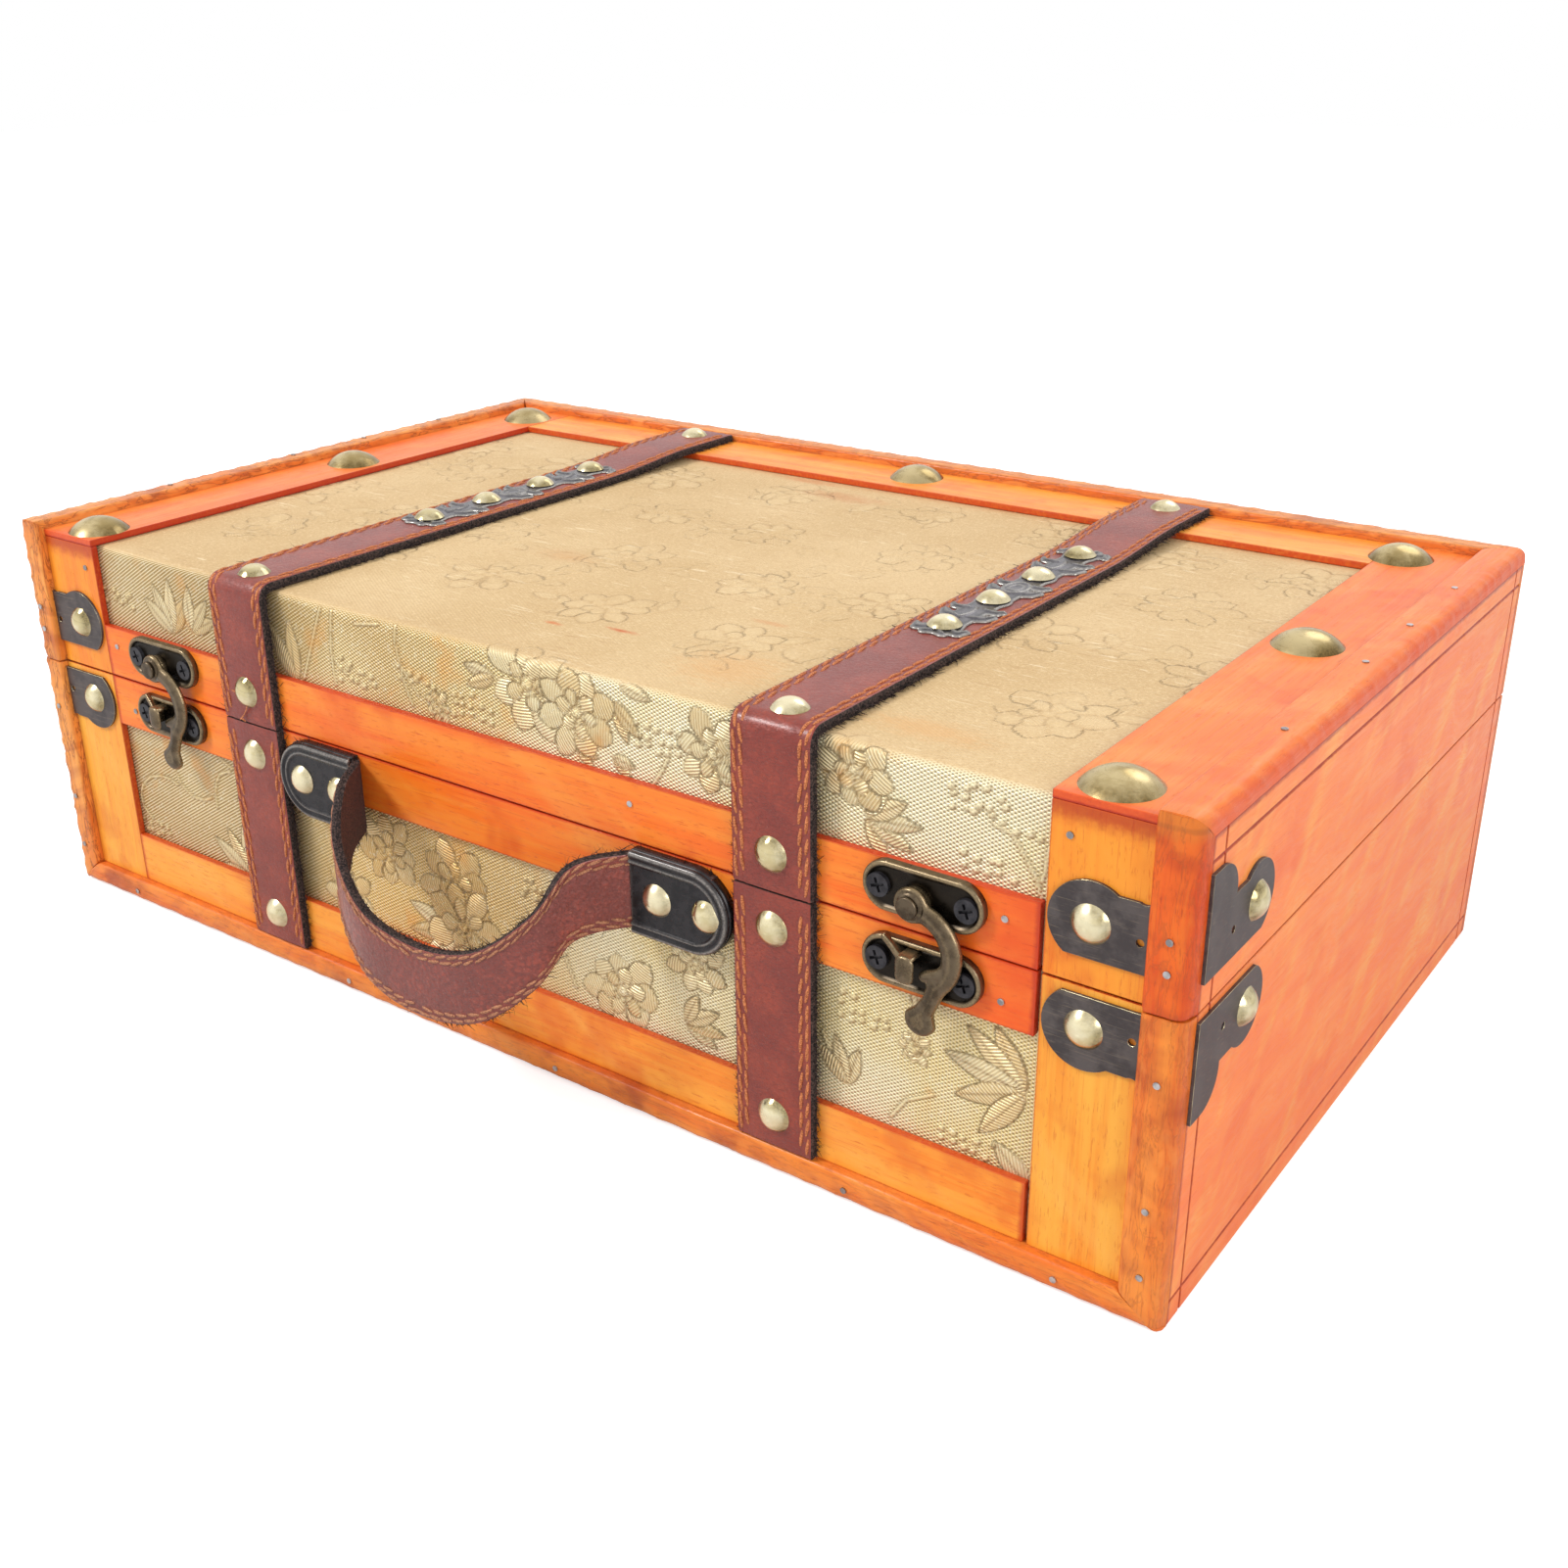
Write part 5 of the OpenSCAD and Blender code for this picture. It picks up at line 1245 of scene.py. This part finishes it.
for tag, (pivot_x, plate_x) in latch_x.items():
    by_rivet = on_front(pivot_x, pivot_z)
    hook = Relief()
    # Painted highlights on the hook's edges and along its crown.
    hook.add(hook_outline, (-5.5, -31.8), (14, 5), 0.26, by_rivet, hook_low, hook_face,
             lambda d, x, y: 0.8 * np.exp(-d / 0.5) + 0.35 * step_up(d, 1.8, 0.6))
    dress(hook.object("hook_body_" + tag, bronze), "bronze", "hook_" + tag, "hook_" + tag)

    upper = Relief()
    add_plate(upper, plate_x, latch_z)
    upper.add(lambda x, y: np.hypot(x, y) - 3.6, (-3.6, -3.6), (3.6, 3.6), 0.3, by_rivet, plate_base,
              lambda d, x, y: plate_t + 0.6 + 0.3 * dome_edge(d, 0.3))
    dress(upper.object("latch_plate_" + tag, bronze), "bronze", "lid", "latch_plates")

    lower = Relief()
    add_plate(lower, plate_x, catch_z)
    # The tab is lighter all over, with a painted highlight along its rounded edge.
    lower.add(*pad(-2.6, -18.4, 2.0, -11.6, 1.9), 0.22, by_rivet, tab_seat,
              lambda d, x, y: tab_seat + 0.05 + 0.95 * dome_edge(d, 2.0),
              lambda d, x, y: 0.15 + 0.5 * np.exp(-d / 0.5))
    for foot in (pad(-2.4, -17.4, -1.5, -12.4, 0.4), pad(-2.2, -12.8, 1.6, -11.8, 0.4)):
        lower.add(*foot, 0.2, by_rivet, plate_base, level(tab_seat + 0.3))
    lower.add(lambda x, y: chain(x, y, [(-7.4, -10.4, 0.8), (-5.0, -11.6, 0.9), (-2.6, -13.2, 0.9)]),
              (-8.4, -14.4), (-1.4, -9.4), 0.2, by_rivet, plate_base,
              lambda d, x, y: plate_t + 1.6 + 0.5 * dome_edge(d, 0.8) - 0.3 * np.clip(-x - 3, 0, 6),
              level(0.5))
    dress(lower.object("catch_plate_" + tag, bronze), "bronze", "base", "catch_plates")

# Embossed strap plates: scrolls round the gaps between the studs, and an oval rosette
stud_pitch, stud_shift = 24.3, 2
studs = [stud_shift + k * stud_pitch for k in (-1.5, -0.5, 0.5, 1.5)]
gaps = [(a + b) / 2 for a, b in zip(studs[:-1], studs[1:])]
scrolls = []
for g in gaps:
    for sx in (-1, 1):
        scrolls.append([(sx * 2.0, g - 3.4, 3.0), (sx * 5.2, g - 2.4, 2.1), (sx * 6.9, g - 0.2, 1.3)])
        scrolls.append([(sx * 2.4, g + 3.8, 2.6), (sx * 5.8, g + 3.4, 1.6), (sx * 7.2, g + 4.6, 1.0)])
for end, sy in ((studs[0], -1), (studs[-1], 1)):
    for sx in (-1, 1):
        scrolls.append([(sx * 3, end + sy * 2, 3.0), (sx * 5.6, end + sy * 3.6, 1.9),
                        (sx * 7.0, end + sy * 1.4, 1.1)])
        scrolls.append([(sx * 0.8, end + sy * 4.0, 2.6), (sx * 2.6, end + sy * 5.6, 1.5)])


def scroll_outline(x, y):
    d = block(x, y, -4.2, studs[0] - 2, 4.2, studs[-1] + 2, 1.0)
    for at in studs:
        d = blend_min(d, np.hypot(x, y - at) - 5.0, 0.8)
    for scroll in scrolls:
        d = blend_min(d, chain(x, y, scroll), 0.5)
    return d


def scroll_face(d, x, y):
    """Veins along the scrolls, and an oval rosette in the middle."""
    vein = np.zeros(x.shape)
    for scroll in scrolls:
        far = np.maximum(chain(x, y, [(a, b, 0.1) for a, b, _ in scroll]), 0)
        vein = np.maximum(vein, 0.8 * bump_at(far, 0, 0.4))
    for g in gaps:
        vein = np.maximum(vein, bump_at(np.hypot(x + 9, y - g), 9.5, 0.35) * (np.abs(y - g) < 4.5))
    oval = np.hypot(x / 3.3, (y - gaps[1]) / 4.6)
    vein = np.where(oval < 1.2, 0.35 + 0.65 * bump_at(oval, 1.0, 0.1) + 0.5 * bump_at(oval, 0.55, 0.1), vein)
    return 0.3 + 0.35 * dome_edge(d, 0.5) + 0.55 * vein


for _, tag in SIDES:
    low, high = box("strap_plate_" + tag)
    cx, cy = (low[0] + high[0]) / 2, (low[1] + high[1]) / 2
    half_w, half_l = 8.3, (high[1] - low[1]) / 2
    plate = Relief()
    # Lighter cut edges, and painted highlights on the raised veins and rosette.
    plate.add(scroll_outline, (-half_w, -half_l), (half_w, half_l), 0.3,
              lambda x, y, z: (cx + x, cy + y, low[2] + z), 0.0, scroll_face,
              lambda d, x, y: 0.7 * step_up(scroll_face(d, x, y), 0.85, 0.3) + 0.9 * np.exp(-d / 0.35),
              lambda d, x, y: 0.7 * bump_at(d, 1.1, 0.4))
    dress(plate.object("scroll_plate_" + tag, pewter), "pewter", "lid", "strap_plate_" + tag)

# Loose thread ends by the left strap's seam
tails = Mesh()
thread_x, thread_y = latch_x["left"][0] + 40, front_y - 2.9
circle = [(0.24 * math.cos(q), 0.1 * math.sin(q), 0.24 * math.sin(q)) for q in np.arange(5) * 1.2566]
for pts in (((-5, 9), (-1.5, 8.6), (1.6, 7.6), (0.8, 4.6), (-1.2, 2.4), (-2.4, 1.0)),
            ((1.6, 7.6), (2.4, 9.6), (2.0, 12.0)), ((-1.2, 2.4), (-1.8, 1.4), (-1.0, 0.6))):
    line = np.array([(thread_x + a, thread_y - 0.5 * (k % 2), seam + b) for k, (a, b) in enumerate(pts)])
    fine_t = np.linspace(0, len(line) - 1, 4 * len(line))
    line = np.stack([np.interp(fine_t, np.arange(len(line)), line[:, k]) for k in range(3)], 1)
    tails.tube([[p + c for c in circle] for p in line])
dress(tails.object("loose_thread", [orange_thread]), "strap_leather", "lid")

# Camera, light and floor

# Camera solved from the photo's corners: place in millimetres, and the picture's right, down and forward
eye = (298.27, -394.44, 257.95)
right = (0.812696, 0.582635, -0.007832)
down = (0.228641, -0.331228, -0.91543)
ahead = (-0.535956, 0.742175, -0.402402)
focal = 1791.31
photo_width = 1601
camera = bpy.data.cameras.new("camera")
camera.sensor_width = 36
camera.lens = focal / photo_width * camera.sensor_width
camera.clip_start = 0.01
scene.camera = bpy.data.objects.new("camera", camera)
scene.collection.objects.link(scene.camera)
turn = Matrix((right, [-c for c in down], [-c for c in ahead])).transposed()
scene.camera.matrix_world = Matrix.Translation(Vector(eye) * MM) @ turn.to_4x4()

# Round lamps that look at the trunk's middle: place in metres, size and power
for name, place, size, power in (("key", (-1.1, -1.1, 1.5), 0.5, 24), ("side", (1.4, -0.5, 0.8), 0.9, 9.5),
                                 ("back", (0.1, 1.2, 1.2), 0.9, 3)):
    light = bpy.data.lights.new(name, "AREA")
    light.shape = "DISK"
    light.size = size
    light.energy = power
    lamp = bpy.data.objects.new(name, light)
    scene.collection.objects.link(lamp)
    lamp.location = place
    lamp.rotation_euler = (Vector((0, 0, 0.05)) - Vector(place)).to_track_quat("-Z", "Y").to_euler()

# The sky lights the trunk a little grey and is white in the picture
scene.world = bpy.data.worlds.new("world")
sky = Shader("world", scene.world)
seen = sky.math("MAXIMUM", sky.node("LightPath", output="Is Camera Ray"),
                sky.math("MAXIMUM", sky.node("LightPath", output="Is Glossy Ray"),
                         sky.node("LightPath", output="Is Transmission Ray")))
sky.put(sky.tree.nodes["Background"].inputs["Color"], sky.mix(seen, (0.6, 0.61, 0.63, 1), (1, 1, 1, 1)))

floor_half, floor_z = 4000, -0.1
floor = mesh_object("floor", [(a * floor_half, b * floor_half, floor_z) for a, b in
                              ((-1, -1), (1, -1), (1, 1), (-1, 1))], [(0, 1, 2, 3)], [], smooth=False)
ground = Shader("floor")
floor.data.materials.append(ground.finish((0.72, 0.72, 0.72, 1), 0.9))
lit = Term(ground, ground.tree.nodes["Principled BSDF"].outputs[0])
glow = ground.node("Emission", {"Strength": ground.node("LightPath", output="Is Camera Ray") * 0.62})
ground.put(ground.tree.nodes["Material Output"].inputs["Surface"], ground.node("AddShader", (lit, glow)))
scene.view_settings.view_transform = "Standard"
